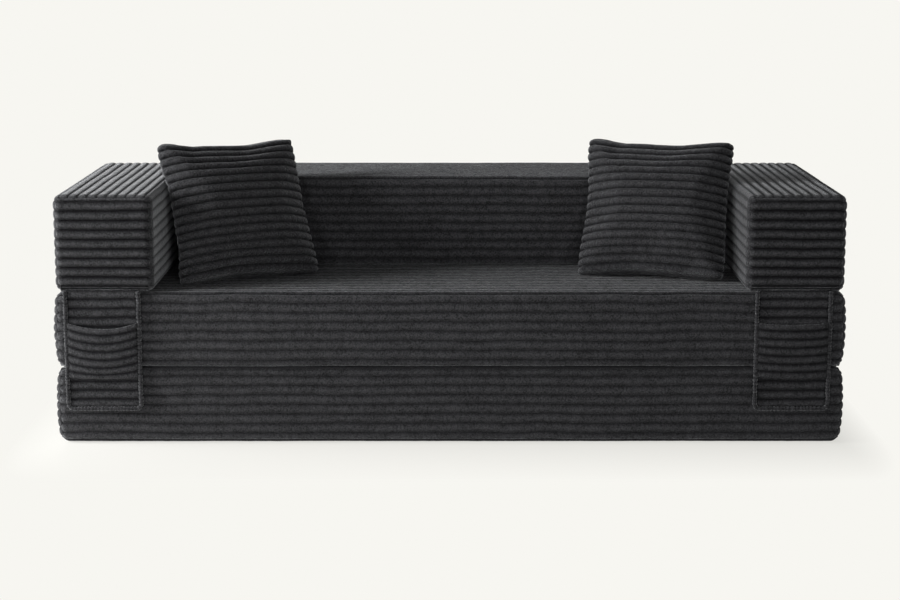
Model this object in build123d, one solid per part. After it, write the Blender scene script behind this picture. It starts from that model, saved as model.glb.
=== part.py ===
from build123d import *
import math
import os

# Folding sofa bed made of covered foam blocks, in millimetres.
# X runs to the right as seen from the front, Y to the back and Z up.
# The origin is on the floor, under the middle of the lower slab.

# The foam blocks
sofa_width = 2032.0
slab_depth = 762.0
slab_height = 200.0
arm_width = 258.0
arm_height = 250.0
backrest_depth = 356.0
backrest_height = 250.0

# The ribbed cloth of the block covers
rib_pitch = 25.0
rib_depth = 6.0
edge_radius = 24.0
edge_start_share = 0.75
cover_wall = 14.0
rest_flat = 0.5

# Clearances between pieces
layer_gap = 0.3
side_gap = 2.0
core_gap = 0.3
overrun = 5.0

# The smooth base cloth of the two slabs, and the sewn fold line between them
base_cloth = 2.5
fold_tab = 1.5
fold_tab_setback = 1.6
fold_line_offset = 0.3
fold_welt_radius = 1.2

# Hook and loop strips that hold the arms and the backrest
strip_width = 40.0
strip_thickness = 2.0
arm_strip_end_inset = 101.0
arm_strip_side_inset = 69.0
backrest_strip_end_inset = 156.0
backrest_strip_side_inset = 88.0

# Zips along the rear faces
zip_channel_width = 26.0
zip_channel_depth = 9.0
zip_tape_width = 24.0
zip_tape_thickness = 1.0
zip_coil_width = 5.0
zip_coil_height = 1.6
zip_end_margin = 42.0
slab_zip_inset = 266.0
backrest_zip_inset = 156.0
arm_zip_inset = 31.0
slider_length = 11.0
slider_width = 9.0
slider_height = 3.4
slider_clearance = 0.3
bridge_length = 9.0
bridge_width = 2.0
bridge_height = 3.4
bridge_bar = 1.0
pull_length = 28.0
pull_width = 7.0
pull_thickness = 1.2
pull_bar_height = 1.2
pull_bar_radius = 0.7
pull_window_length = 7.0
pull_window_width = 4.0

# The pocket flaps that hang from the fronts of the arms
flap_width = 200.0
flap_length = 316.0
flap_left_inset = 23.0
flap_right_inset = 34.0
flap_front_gap = 2.0
flap_cloth = 6.5
flap_rib_depth = 3.0
flap_pivot_offset = 2.0
flap_pivot_height = 4.0
flap_bead_radius = 2.0
hem_width = 8.0
hem_thickness = 8.0
hem_corner_radius = 20.0
hem_round = 2.5
hanger_thickness = 1.5
hanger_seam_depth = 5.0
hanger_gap = 0.3

# The open pouch on each flap
pouch_width = 176.0
pouch_depth = 9.5
pouch_cloth = 5.0
pouch_top_drop = 82.0
pouch_height = 148.0
pouch_rib_depth = 2.5
pouch_seam_gap = 0.3
pouch_left_sag = 10.0
pouch_right_sag = 3.0

# The two loose pillows
pillow_size = 384.0
pillow_crown = 148.0
pillow_edge = 9.0
pillow_end_crown = 5.0
pillow_side_draw = 13.0
pillow_ribs = 16
pillow_rib_depth = 4.5
pillow_wall = 10.0
pillow_filling_gap = 0.6
pillow_filling_sections = 12
pillow_rest_flat = 3.0
pillow_back_columns = 12
pillow_rest_gap = 0.3
pillow_lean_gap = 2.0
pillow_left_arm_gap = 10.0
pillow_right_arm_gap = 12.5
pillow_fullness_share = 0.55
rib_station_shares = (0.0, 0.22, 0.5, 0.78)
pillow_left_angles = (30.0, 25.0, -0.4)
pillow_right_angles = (15.5, 26.2, -0.4)

# Heights of the stacked blocks, and places worked out from the sizes
front_y = -slab_depth / 2
rear_y = slab_depth / 2
seat_bottom = slab_height + layer_gap
seat_top = seat_bottom + slab_height
block_bottom = seat_top + layer_gap
arm_centre = (sofa_width - arm_width) / 2
arm_inner = sofa_width / 2 - arm_width
backrest_width = 2 * (arm_inner - side_gap)
backrest_front = rear_y - backrest_depth
backrest_centre = rear_y - backrest_depth / 2
arm_strip_length = slab_depth - 2 * arm_strip_end_inset
arm_strip_offset = arm_width / 2 - arm_strip_side_inset
backrest_strip_length = backrest_width - 2 * backrest_strip_end_inset
backrest_strip_offset = backrest_depth / 2 - backrest_strip_side_inset
slab_zip_length = sofa_width - 2 * slab_zip_inset
backrest_zip_length = backrest_width - 2 * backrest_zip_inset
arm_zip_length = arm_width - 2 * arm_zip_inset
edge_start = edge_radius * edge_start_share
edge_apex = edge_radius * (1 - math.sqrt(0.5))
fold_line = (0, front_y - fold_line_offset, slab_height + layer_gap / 2)
flap_back_y = front_y - flap_front_gap
flap_pivot_y = flap_back_y - flap_pivot_offset
flap_pivot_z = block_bottom + flap_pivot_height
flap_left_centre = -sofa_width / 2 + flap_left_inset + flap_width / 2
flap_right_centre = sofa_width / 2 - flap_right_inset - flap_width / 2
panel_width = flap_width - 2 * hem_width
panel_corner = hem_corner_radius - hem_width


def rib_joints(start, end):
    """The grooves between equal ribs from one place to another."""
    count = max(1, int((abs(end - start)) // rib_pitch))
    return [start + (end - start) * i / count for i in range(count + 1)]


def rib_arcs(start, end, groove, crest, upright):
    """A run of ribs as arcs, along the first axis or, if upright, the second."""
    joints = rib_joints(start, end)
    arcs = []
    for a, b in zip(joints, joints[1:]):
        points = [(a, groove), ((a + b) / 2, crest), (b, groove)]
        if upright:
            points = [(v, u) for u, v in points]
        arcs.append(ThreePointArc(*points))
    return arcs


def block_outline(span, height, crest_rise):
    """The section of a block: flat below, ribbed on both sides and on top."""
    side, turn, apex = span / 2, edge_start, edge_apex
    crest = height + crest_rise
    flank, roof, reach = side - rib_depth, crest - rib_depth, side - turn
    upper = height - turn
    edges = rib_arcs(turn, upper, flank, side, True)
    edges.append(ThreePointArc((flank, upper), (side - apex, height - apex), (reach, roof)))
    edges += rib_arcs(reach, -reach, roof, crest, False)
    edges.append(ThreePointArc((-reach, roof), (apex - side, height - apex), (-flank, upper)))
    edges += rib_arcs(upper, turn, -flank, -side, True)
    edges.append(ThreePointArc((-flank, turn), (apex - side, apex), (-reach, 0)))
    edges.append(Line((-reach, 0), (reach, 0)))
    edges.append(ThreePointArc((reach, 0), (side - apex, apex), (flank, turn)))
    return make_face(edges)


def low_box(x_size, y_size, z_size):
    """A box centred over the origin and standing on it."""
    return Box(x_size, y_size, z_size, align=(Align.CENTER, Align.CENTER, Align.MIN))


def block_wrap(length, span, height, crest_rise=0.0, floor_wall=0.0):
    """The cloth around a block along X, open at its ends, and below where it has no floor wall."""
    reach = length - 2 * edge_radius
    outer = extrude(Plane.YZ * block_outline(span, height, crest_rise), amount=reach / 2, both=True)
    inside = height - cover_wall - floor_wall if floor_wall else height - cover_wall + overrun
    cavity = low_box(reach + 2 * overrun, span - 2 * cover_wall, inside)
    wrap = outer - Pos(Z=floor_wall if floor_wall else -overrun) * cavity
    if crest_rise:
        wrap -= Pos(Z=height) * low_box(reach + 2 * overrun, span + overrun, rib_depth + overrun)
    return wrap


def end_outline(height):
    """The section of an end panel: flat inside, ribbed outside, with drawn-in edges."""
    turn, apex, crest = edge_start, edge_apex, edge_radius
    flank, reach = crest - rib_depth, crest - turn
    roof, upper = height - rib_depth, height - turn
    edges = rib_arcs(turn, upper, flank, crest, True)
    edges.append(ThreePointArc((flank, upper), (crest - apex, height - apex), (reach, roof)))
    edges.append(Line((reach, roof), (0, roof)))
    edges.append(Line((0, roof), (0, 0)))
    edges.append(Line((0, 0), (reach, 0)))
    edges.append(ThreePointArc((reach, 0), (crest - apex, apex), (flank, turn)))
    return make_face(edges)


def end_plan(span):
    """The plan of an end panel: its outer corners are rounded."""
    side, crest, apex, turn = span / 2 - rib_depth, edge_radius, edge_apex, edge_start
    edges = [Line((0, -side), (crest - turn, -side))]
    edges.append(ThreePointArc((crest - turn, -side), (crest - apex, apex - side), (crest, turn - side)))
    edges.append(Line((crest, turn - side), (crest, side - turn)))
    edges.append(ThreePointArc((crest, side - turn), (crest - apex, side - apex), (crest - turn, side)))
    edges.append(Line((crest - turn, side), (0, side)))
    edges.append(Line((0, side), (0, -side)))
    return make_face(edges)


def end_panel(length, span, height, closed_below):
    """The padded panel that closes the +X end of a block, hollowed for the foam."""
    solid = extrude(Plane.XZ * end_outline(height), amount=span / 2, both=True)
    solid &= extrude(end_plan(span), amount=height)
    floor_wall = cover_wall if closed_below else base_cloth + layer_gap
    depth = edge_radius - cover_wall
    hollow = low_box(2 * depth, span - 2 * cover_wall, height - cover_wall - floor_wall)
    solid -= Pos(Z=floor_wall) * hollow
    return Pos(X=length / 2 - edge_radius) * solid


def foam_core(length, span, height, floor_wall):
    """The foam that fills a cover."""
    inset = cover_wall + core_gap
    tall = height - floor_wall - cover_wall - 2 * core_gap
    return Pos(Z=floor_wall + core_gap) * low_box(length - 2 * inset, span - 2 * inset, tall)


def block_pieces(length, span, height, crest_rise, closed_below):
    """Wrap, end panels at -X and +X, and core of one block along X, standing on the origin."""
    floor_wall = cover_wall if closed_below else 0.0
    panel = end_panel(length, span, height, closed_below)
    return {
        "cover": block_wrap(length, span, height, crest_rise, floor_wall),
        "low_end": Rotation(Z=180) * panel,
        "high_end": panel,
        "core": foam_core(length, span, height, floor_wall if closed_below else base_cloth),
    }


def placed(pieces, location):
    """The same pieces at another place."""
    return {name: location * solid for name, solid in pieces.items()}


def base_panel():
    """The smooth cloth that closes a slab below, with the tab that runs to the fold line."""
    width = sofa_width - 2 * edge_radius - 2 * core_gap
    mouth = slab_depth - 2 * cover_wall - 2 * core_gap
    tab_end = front_y + fold_tab_setback
    tab_depth = cover_wall + overrun - fold_tab_setback
    tab = Box(width, tab_depth, fold_tab, align=(Align.CENTER, Align.MIN, Align.MIN))
    return low_box(width, mouth, base_cloth) + Pos(Y=tab_end) * tab


def zip_place(x, z):
    """A frame on the rear face: its X runs along the zip and its Z points out of the face."""
    return Plane(origin=(x, rear_y - zip_channel_depth, z), x_dir=(1, 0, 0), z_dir=(0, 1, 0)).location


def zip_channel(length):
    """The room for a zip, measured up from the channel's floor."""
    return low_box(length, zip_channel_width, zip_channel_depth + overrun)


def zip_tape(length):
    """The woven tapes with the coil along their middle."""
    tape = low_box(length - 2 * slider_clearance, zip_tape_width, zip_tape_thickness)
    coil = low_box(length - 2 * slider_clearance, zip_coil_width, zip_tape_thickness + zip_coil_height)
    return tape + coil


def zip_slider():
    """The slider that rides over the coil, with the bridge for its pull."""
    base = zip_tape_thickness + slider_clearance
    body = Pos(Z=base) * low_box(slider_length, slider_width, slider_height)
    groove_width = zip_coil_width + 2 * slider_clearance
    groove = low_box(slider_length + overrun, groove_width, base + zip_coil_height)
    bridge = Pos(Z=base) * low_box(bridge_length, bridge_width, slider_height + bridge_height)
    opening_length = bridge_length - 2 * bridge_bar
    opening = low_box(opening_length, bridge_width + overrun, bridge_height - bridge_bar)
    bridge -= Pos(Z=base + slider_height) * opening
    return body + bridge - groove


def pull_bar_level():
    """How high the pull's bar lies over the channel's floor."""
    return zip_tape_thickness + slider_clearance + slider_height + pull_bar_height


def zip_pull():
    """The tab that hangs on the slider, lying along the zip towards -X."""
    at_bar = (Align.MAX, Align.CENTER, Align.CENTER)
    plate = Box(pull_length, pull_width, pull_thickness, align=at_bar)
    window = Box(pull_window_length, pull_window_width, pull_thickness + overrun, align=at_bar)
    bar = Rotation(X=90) * Cylinder(pull_bar_radius, pull_width)
    return Pos(Z=pull_bar_level()) * (plate - window + bar)


def add_zip(nodes, name, x, z, length):
    """Tape, slider and pull of one zip, the slider at its closed end."""
    place = zip_place(x, z)
    closed_end = Pos(X=length / 2 - zip_end_margin)
    nodes[name + "_zip_tape"] = place * zip_tape(length)
    nodes[name + "_zip_slider"] = place * closed_end * zip_slider()
    nodes[name + "_zip_pull"] = place * closed_end * zip_pull()


def strip_places(centre_x, centre_y, x_offset, y_offset):
    """Where two like strips lie, one each side of a centre."""
    return [(centre_x + side * x_offset, centre_y + side * y_offset) for side in (-1, 1)]


def arm_strips(side, bottom):
    """The two strips under an arm, or on the seat below it, as separate solids."""
    strip = low_box(strip_width, arm_strip_length, strip_thickness)
    places = strip_places(side * arm_centre, 0, arm_strip_offset, 0)
    return [Pos(x, y, bottom) * strip for x, y in places]


def backrest_strips(bottom):
    """The two strips under the backrest, or on the seat below it, as separate solids."""
    strip = low_box(backrest_strip_length, strip_width, strip_thickness)
    places = strip_places(0, backrest_centre, 0, backrest_strip_offset)
    return [Pos(x, y, bottom) * strip for x, y in places]


def build_fold_out(nodes):
    """The lower slab, which lies upside down so that its smooth base cloth is on top."""
    turned = Pos(Z=slab_height) * Rotation(X=180)
    pieces = placed(block_pieces(sofa_width, slab_depth, slab_height, rest_flat, False), turned)
    place = zip_place(0, slab_height / 2)
    base_cloth_sheet = mirror(base_panel(), Plane.XY.offset(slab_height / 2))
    nodes["fold_out_cover"] = pieces["cover"] - place * zip_channel(slab_zip_length) - base_cloth_sheet
    nodes["fold_out_left_end_panel"] = pieces["low_end"]
    nodes["fold_out_right_end_panel"] = pieces["high_end"]
    nodes["fold_out_foam_core"] = pieces["core"]
    nodes["fold_out_base_cloth"] = base_cloth_sheet
    add_zip(nodes, "fold_out", 0, slab_height / 2, slab_zip_length)


def build_seat(nodes):
    """The upper slab, with the loop strips that the arms and the backrest stand on."""
    pieces = placed(block_pieces(sofa_width, slab_depth, slab_height, 0.0, False), Pos(Z=seat_bottom))
    level = seat_top - strip_thickness
    loops = arm_strips(-1, level) + arm_strips(1, level) + backrest_strips(level)
    base_cloth_sheet = Pos(Z=seat_bottom) * base_panel()
    cover = pieces["cover"] - zip_place(0, seat_bottom + slab_height / 2) * zip_channel(slab_zip_length)
    nodes["seat_cover"] = cover - loops - base_cloth_sheet
    nodes["seat_left_end_panel"] = pieces["low_end"]
    nodes["seat_right_end_panel"] = pieces["high_end"]
    nodes["seat_foam_core"] = pieces["core"]
    nodes["seat_base_cloth"] = base_cloth_sheet
    nodes["seat_loop_strips"] = Compound(children=loops)
    add_zip(nodes, "seat", 0, seat_bottom + slab_height / 2, slab_zip_length)
    welt = Rotation(Y=90) * Cylinder(fold_welt_radius, sofa_width - 2 * edge_radius)
    nodes["fold_line_welt"] = Pos(*fold_line) * welt


def build_backrest(nodes):
    """The backrest block, which stands on the seat between the arms."""
    place = Pos(0, backrest_centre, block_bottom)
    pieces = placed(block_pieces(backrest_width, backrest_depth, backrest_height, 0.0, True), place)
    hooks = backrest_strips(block_bottom)
    level = block_bottom + backrest_height / 2
    channel = zip_place(0, level) * zip_channel(backrest_zip_length)
    nodes["backrest_cover"] = pieces["cover"] - channel - hooks
    nodes["backrest_left_end_panel"] = pieces["low_end"]
    nodes["backrest_right_end_panel"] = pieces["high_end"]
    nodes["backrest_foam_core"] = pieces["core"]
    nodes["backrest_hook_strips"] = Compound(children=hooks)
    add_zip(nodes, "backrest", 0, level, backrest_zip_length)


def build_arm(nodes, name, side, flap_centre):
    """One arm block, with its ribs front to back and its end panels in front and behind."""
    place = Pos(side * arm_centre, 0, block_bottom) * Rotation(Z=90)
    pieces = placed(block_pieces(slab_depth, arm_width, arm_height, 0.0, True), place)
    hooks = arm_strips(side, block_bottom)
    level = block_bottom + arm_height / 2
    channel = zip_place(side * arm_centre, level) * zip_channel(arm_zip_length)
    slot = hanger_strip(flap_centre, hanger_gap)
    nodes[name + "_cover"] = pieces["cover"] - hooks
    nodes[name + "_front_panel"] = pieces["low_end"] - slot
    nodes[name + "_rear_panel"] = pieces["high_end"] - channel
    nodes[name + "_foam_core"] = pieces["core"]
    nodes[name + "_hook_strips"] = Compound(children=hooks)
    nodes[name + "_pocket_hanger"] = hanger_strip(flap_centre, 0.0)
    add_zip(nodes, name, side * arm_centre, level, arm_zip_length)


def hanger_strip(centre, growth):
    """The cloth strip sewn into the arm's front seam, which carries the pocket flap."""
    start = flap_pivot_y + flap_bead_radius + hanger_gap
    end = front_y + edge_apex + hanger_seam_depth
    depth = end - start
    strip = Box(panel_width + 2 * growth, depth + 2 * growth, hanger_thickness + 2 * growth)
    return Pos(centre, (start + end) / 2, flap_pivot_z) * strip


def ribbed_sheet(width, low, high, back, groove, crest):
    """A hanging cloth with a flat back, and ribs across its front between two heights."""
    edges = [Line((back, low), (groove, low))]
    edges += rib_arcs(low, high, groove, crest, True)
    edges.append(Line((groove, high), (back, high)))
    edges.append(Line((back, high), (back, low)))
    return extrude(Plane.YZ * make_face(edges), amount=width / 2, both=True)


def flap_outline(width, low, high, radius):
    """The face of a flap: square above, with rounded corners below."""
    side, bend = width / 2, radius * (1 - math.sqrt(0.5))
    edges = [Line((-side, high), (-side, low + radius))]
    edges.append(ThreePointArc((-side, low + radius), (bend - side, low + bend), (radius - side, low)))
    edges.append(Line((radius - side, low), (side - radius, low)))
    edges.append(ThreePointArc((side - radius, low), (side - bend, low + bend), (side, low + radius)))
    edges.append(Line((side, low + radius), (side, high)))
    edges.append(Line((side, high), (-side, high)))
    return make_face(edges)


def flap_hem(low):
    """The rolled binding down both sides of a flap and along its foot."""
    outer = flap_outline(flap_width, low, flap_pivot_z, hem_corner_radius)
    inner = flap_outline(panel_width, low + hem_width, flap_pivot_z + overrun, panel_corner)
    hem = extrude(Plane.XZ.offset(-flap_back_y) * (outer - inner), amount=hem_thickness)
    front_edges = hem.faces().sort_by(Axis.Y)[0].outer_wire().edges().sort_by(Axis.Z)[:-2]
    return fillet(front_edges, hem_round)


def flap_panel(low):
    """The ribbed back of a flap, with the bead that it swings on."""
    inner_low = low + hem_width
    crest = flap_back_y - flap_cloth
    sheet = ribbed_sheet(flap_width, inner_low, flap_pivot_z, flap_back_y, crest + flap_rib_depth, crest)
    outline = flap_outline(panel_width, inner_low, flap_pivot_z, panel_corner)
    sheet &= extrude(Plane.XZ.offset(-flap_back_y) * outline, amount=2 * flap_cloth, both=True)
    bead = Rotation(Y=90) * Cylinder(flap_bead_radius, panel_width)
    return sheet + Pos(Y=flap_pivot_y, Z=flap_pivot_z) * bead


def pouch_outline(low, sag):
    """The face of a pouch, with its mouth sagging between the side seams."""
    side, top = pouch_width / 2, low + pouch_height
    edges = [Line((-side, top), (-side, low)), Line((-side, low), (side, low))]
    edges.append(Line((side, low), (side, top)))
    edges.append(ThreePointArc((side, top), (0, top - sag), (-side, top)))
    return make_face(edges)


def flap_pouch(sag):
    """The open pouch: a ribbed front with side walls and a floor, sewn onto the flap."""
    low = flap_pivot_z - pouch_top_drop - pouch_height
    back = flap_back_y - flap_cloth - pouch_seam_gap
    crest = back - pouch_depth - pouch_cloth
    pouch = ribbed_sheet(pouch_width, low, low + pouch_height, back, crest + pouch_rib_depth, crest)
    outline = Plane.XZ.offset(-back) * pouch_outline(low, sag)
    pouch &= extrude(outline, amount=2 * (pouch_depth + pouch_cloth), both=True)
    at_front = (Align.CENTER, Align.MIN, Align.MIN)
    inside = Box(pouch_width - 2 * pouch_cloth, pouch_depth + overrun, pouch_height, align=at_front)
    return pouch - Pos(Y=back - pouch_depth, Z=low + pouch_cloth) * inside


def build_flap(nodes, name, centre, sag):
    """One pocket flap: ribbed panel, rolled hem and pouch."""
    low = flap_pivot_z - flap_length
    nodes[name + "_panel"] = Pos(X=centre) * flap_panel(low)
    nodes[name + "_hem"] = Pos(X=centre) * flap_hem(low)
    nodes[name + "_pouch"] = Pos(X=centre) * flap_pouch(sag)


def bow(share):
    """A curve that rises from nothing at both ends to one halfway."""
    return 1 - (2 * share - 1) ** 2


def pillow_section(share, rib_rise, growth):
    """A section across a pillow at a share of its height, grown or shrunk all round."""
    swell = bow(share) ** pillow_fullness_share
    thin = pillow_edge / 2 + pillow_end_crown
    edge = pillow_edge / 2
    half = pillow_size / 2 - pillow_side_draw * bow(share) + growth
    bulge = thin + (pillow_crown / 2 - thin) * swell - pillow_rib_depth + rib_rise + growth
    edges = [
        ThreePointArc((-half, -edge), (0, -bulge), (half, -edge)),
        Line((half, -edge), (half, edge)),
        ThreePointArc((half, edge), (0, bulge), (-half, edge)),
        Line((-half, edge), (-half, -edge)),
    ]
    return make_face(edges)


def pillow_cover_form():
    """The crowned pillow with its sewn ribs, standing on the origin."""
    pitch = pillow_size / pillow_ribs
    stations = [(i + s, s) for i in range(pillow_ribs) for s in rib_station_shares]
    stations.append((pillow_ribs, 0.0))
    sections = []
    for place, s in stations:
        rise = pillow_rib_depth * math.sqrt(bow(s))
        sections.append(Pos(Z=place * pitch) * pillow_section(place / pillow_ribs, rise, 0.0))
    return loft(sections, ruled=True)


def pillow_filling_form(growth):
    """The smooth filling of a pillow, or with a growth the hollow that it fills."""
    low, high = pillow_wall, pillow_size - pillow_wall
    sections = []
    for i in range(pillow_filling_sections + 1):
        place = low + (high - low) * i / pillow_filling_sections
        moved = place - growth if i == 0 else place + growth if i == pillow_filling_sections else place
        sections.append(Pos(Z=moved) * pillow_section(place / pillow_size, 0.0, growth - pillow_wall))
    return loft(sections, ruled=True)


def pillow_back(turn):
    """Points all over the back of a turned pillow, as high as the blocks that it leans on."""
    thin = pillow_edge / 2 + pillow_end_crown
    points = []
    for i in range(pillow_ribs + 1):
        share = i / pillow_ribs
        half = pillow_size / 2 - pillow_side_draw * bow(share)
        rise = thin + (pillow_crown / 2 - thin) * bow(share) ** pillow_fullness_share - pillow_edge / 2
        for j in range(pillow_back_columns + 1):
            across = j / pillow_back_columns
            place = Pos((2 * across - 1) * half, pillow_edge / 2 + rise * bow(across), share * pillow_size)
            points.append((turn * place).position)
    return [point for point in points if point.Z < backrest_height]


def pillow_place(side, angles, arm_gap):
    """Where a pillow stands: on the seat, leaning on the backrest and towards the arm."""
    yaw, lean, roll = angles
    turn = Rotation(Z=-side * yaw) * Rotation(X=-lean) * Rotation(Y=side * roll)
    back = pillow_back(turn)
    x = side * (arm_inner - arm_gap - max(side * point.X for point in back))
    y = backrest_front - pillow_lean_gap - max(point.Y for point in back)
    lowest = (turn * pillow_cover_form()).bounding_box().min.Z
    return Pos(x, y, seat_top + pillow_rest_gap - pillow_rest_flat - lowest) * turn


def pressed_flat(solid, level):
    """A soft solid without what its own weight presses flat below a level."""
    box = solid.bounding_box()
    below = low_box(2 * box.size.X, 2 * box.size.Y, box.size.Z)
    return solid - Pos(box.center().X, box.center().Y, level - box.size.Z) * below


def build_pillow(nodes, name, side, angles, arm_gap):
    """One pillow: ribbed cover around its filling."""
    place = pillow_place(side, angles, arm_gap)
    cavity = pillow_filling_form(pillow_filling_gap)
    cover = place * (pillow_cover_form() - cavity)
    nodes[name + "_cover"] = pressed_flat(cover, seat_top + pillow_rest_gap)
    nodes[name + "_filling"] = place * pillow_filling_form(0.0)


def build_all():
    """Every piece of the sofa bed, by its node name."""
    nodes = {}
    build_fold_out(nodes)
    build_seat(nodes)
    build_backrest(nodes)
    build_arm(nodes, "left_arm", -1, flap_left_centre)
    build_arm(nodes, "right_arm", 1, flap_right_centre)
    build_flap(nodes, "left_flap", flap_left_centre, pouch_left_sag)
    build_flap(nodes, "right_flap", flap_right_centre, pouch_right_sag)
    build_pillow(nodes, "left_pillow", -1, pillow_left_angles, pillow_left_arm_gap)
    build_pillow(nodes, "right_pillow", 1, pillow_right_angles, pillow_right_arm_gap)
    return nodes


os.makedirs("parts", exist_ok=True)
for node, solid in build_all().items():
    export_step(solid, f"parts/{node}.step")
    print(node, round(solid.volume))
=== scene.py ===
"""The looks of a folding foam sofa bed in charcoal plush with wide ribs.

Five foam blocks wear ribbed covers with sewn end panels, two pillows lean in the corners, a pocket
flap hangs from the front of each arm, and each block closes with a zip at the back.
"""
import logging
import math
from dataclasses import dataclass, field
from enum import Enum
from typing import Callable, Optional, Sequence, Union

import bmesh
import bpy
import numpy as np
from mathutils import Matrix, Vector


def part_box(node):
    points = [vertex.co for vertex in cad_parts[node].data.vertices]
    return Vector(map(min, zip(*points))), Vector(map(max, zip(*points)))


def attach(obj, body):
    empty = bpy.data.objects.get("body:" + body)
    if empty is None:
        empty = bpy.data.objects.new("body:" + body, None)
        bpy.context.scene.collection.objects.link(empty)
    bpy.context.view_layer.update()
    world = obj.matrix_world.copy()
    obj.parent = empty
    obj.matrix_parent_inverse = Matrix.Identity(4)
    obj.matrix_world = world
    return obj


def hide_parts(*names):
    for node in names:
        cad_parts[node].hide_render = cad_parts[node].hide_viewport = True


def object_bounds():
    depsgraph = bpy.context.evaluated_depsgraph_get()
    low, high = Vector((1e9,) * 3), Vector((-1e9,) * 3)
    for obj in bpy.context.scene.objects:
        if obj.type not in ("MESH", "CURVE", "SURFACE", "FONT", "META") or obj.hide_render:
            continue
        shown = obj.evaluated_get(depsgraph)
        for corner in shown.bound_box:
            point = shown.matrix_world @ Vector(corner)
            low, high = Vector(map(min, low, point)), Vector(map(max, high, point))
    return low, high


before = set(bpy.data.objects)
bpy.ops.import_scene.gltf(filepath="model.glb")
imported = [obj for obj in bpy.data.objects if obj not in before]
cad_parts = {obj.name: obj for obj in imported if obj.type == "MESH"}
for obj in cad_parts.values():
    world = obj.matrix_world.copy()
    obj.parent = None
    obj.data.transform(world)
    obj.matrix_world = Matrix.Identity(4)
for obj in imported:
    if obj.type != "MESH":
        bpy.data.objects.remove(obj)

CAD_BOX = [list(corner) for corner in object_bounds()]
MM = 0.001

logging.basicConfig(level=logging.INFO, format="%(levelname)s %(message)s")
log = logging.getLogger("sofa_bed")

Colour = tuple[float, float, float]
Input = Union["Signal", float, Colour]
Values = Union[np.ndarray, float]
Line = Sequence[tuple[float, float]]


def linear(red: int, green: int, blue: int) -> Colour:
    """Turn a colour as it shows on a screen into scene light.

    Args:
        red: Red, from 0 to 255.
        green: Green, from 0 to 255.
        blue: Blue, from 0 to 255.

    Returns:
        The three parts as linear light.
    """
    shares = (red / 255, green / 255, blue / 255)
    return tuple(s / 12.92 if s <= 0.04045 else ((s + 0.055) / 1.055) ** 2.4 for s in shares)


def scaled(colour: Colour, share: float) -> Colour:
    """A colour made darker or paler."""
    return tuple(part * share for part in colour)


# Shading


class Signal:
    """The output of a shader node, which takes part in sums like a number."""

    def __init__(self, graph: "Nodes", socket: bpy.types.NodeSocket) -> None:
        """Wrap a socket of a node tree."""
        self.graph = graph
        self.socket = socket

    def maths(self, operation: str, *values: Input) -> "Signal":
        """Add a Math node.

        Args:
            operation: What the node works out.
            values: Its inputs in order.

        Returns:
            The node's result.
        """
        return self.graph.add("ShaderNodeMath", {"operation": operation}, dict(enumerate(values)))

    def output(self, name: Union[int, str]) -> "Signal":
        """Another output of the same node."""
        return Signal(self.graph, self.socket.node.outputs[name])

    def __add__(self, other: Input) -> "Signal":
        """This plus another."""
        return self.maths("ADD", self, other)

    def __sub__(self, other: Input) -> "Signal":
        """This less another."""
        return self.maths("SUBTRACT", self, other)

    def __mul__(self, other: Input) -> "Signal":
        """This times another."""
        return self.maths("MULTIPLY", self, other)

    def __pow__(self, other: Input) -> "Signal":
        """This to a power."""
        return self.maths("POWER", self, other)

    def wave(self) -> "Signal":
        """A sine of this, between nothing and one."""
        return self.maths("SINE", self) * 0.5 + 0.5

    def ramp(self, low: float, high: float, start: float = 0.0, end: float = 1.0) -> "Signal":
        """Spread a stretch of values over another, held at its ends.

        Args:
            low: The value that becomes the start.
            high: The value that becomes the end.
            start: The lowest result.
            end: The highest result.

        Returns:
            The spread value.
        """
        sockets = {0: self, 1: low, 2: high, 3: start, 4: end}
        return self.graph.add("ShaderNodeMapRange", {"clamp": True}, sockets)


class Nodes:
    """The shader nodes of one tree."""

    def __init__(self, tree: bpy.types.NodeTree) -> None:
        """Start with an empty tree."""
        tree.nodes.clear()
        self.tree = tree

    def add(self, kind: str, settings: Optional[dict] = None, sockets: Optional[dict] = None,
            result: Union[int, str, None] = 0) -> Optional[Signal]:
        """Add a node.

        Args:
            kind: The node's type.
            settings: Its settings, which are set first.
            sockets: Values or links for its inputs, by name or number.
            result: The output that is wanted, if any.

        Returns:
            That output.
        """
        node = self.tree.nodes.new(kind)
        for name, value in (settings or {}).items():
            setattr(node, name, value)
        for key, value in (sockets or {}).items():
            self.feed(node.inputs[key], value)
        return None if result is None else Signal(self, node.outputs[result])

    def feed(self, socket: bpy.types.NodeSocket, value: Input) -> None:
        """Link an input, or give it a value.

        Args:
            socket: The input.
            value: A signal, a number or a colour.
        """
        if isinstance(value, Signal):
            self.tree.links.new(value.socket, socket)
        elif socket.type == "RGBA":
            socket.default_value = (*value, 1.0)
        else:
            socket.default_value = value


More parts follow.
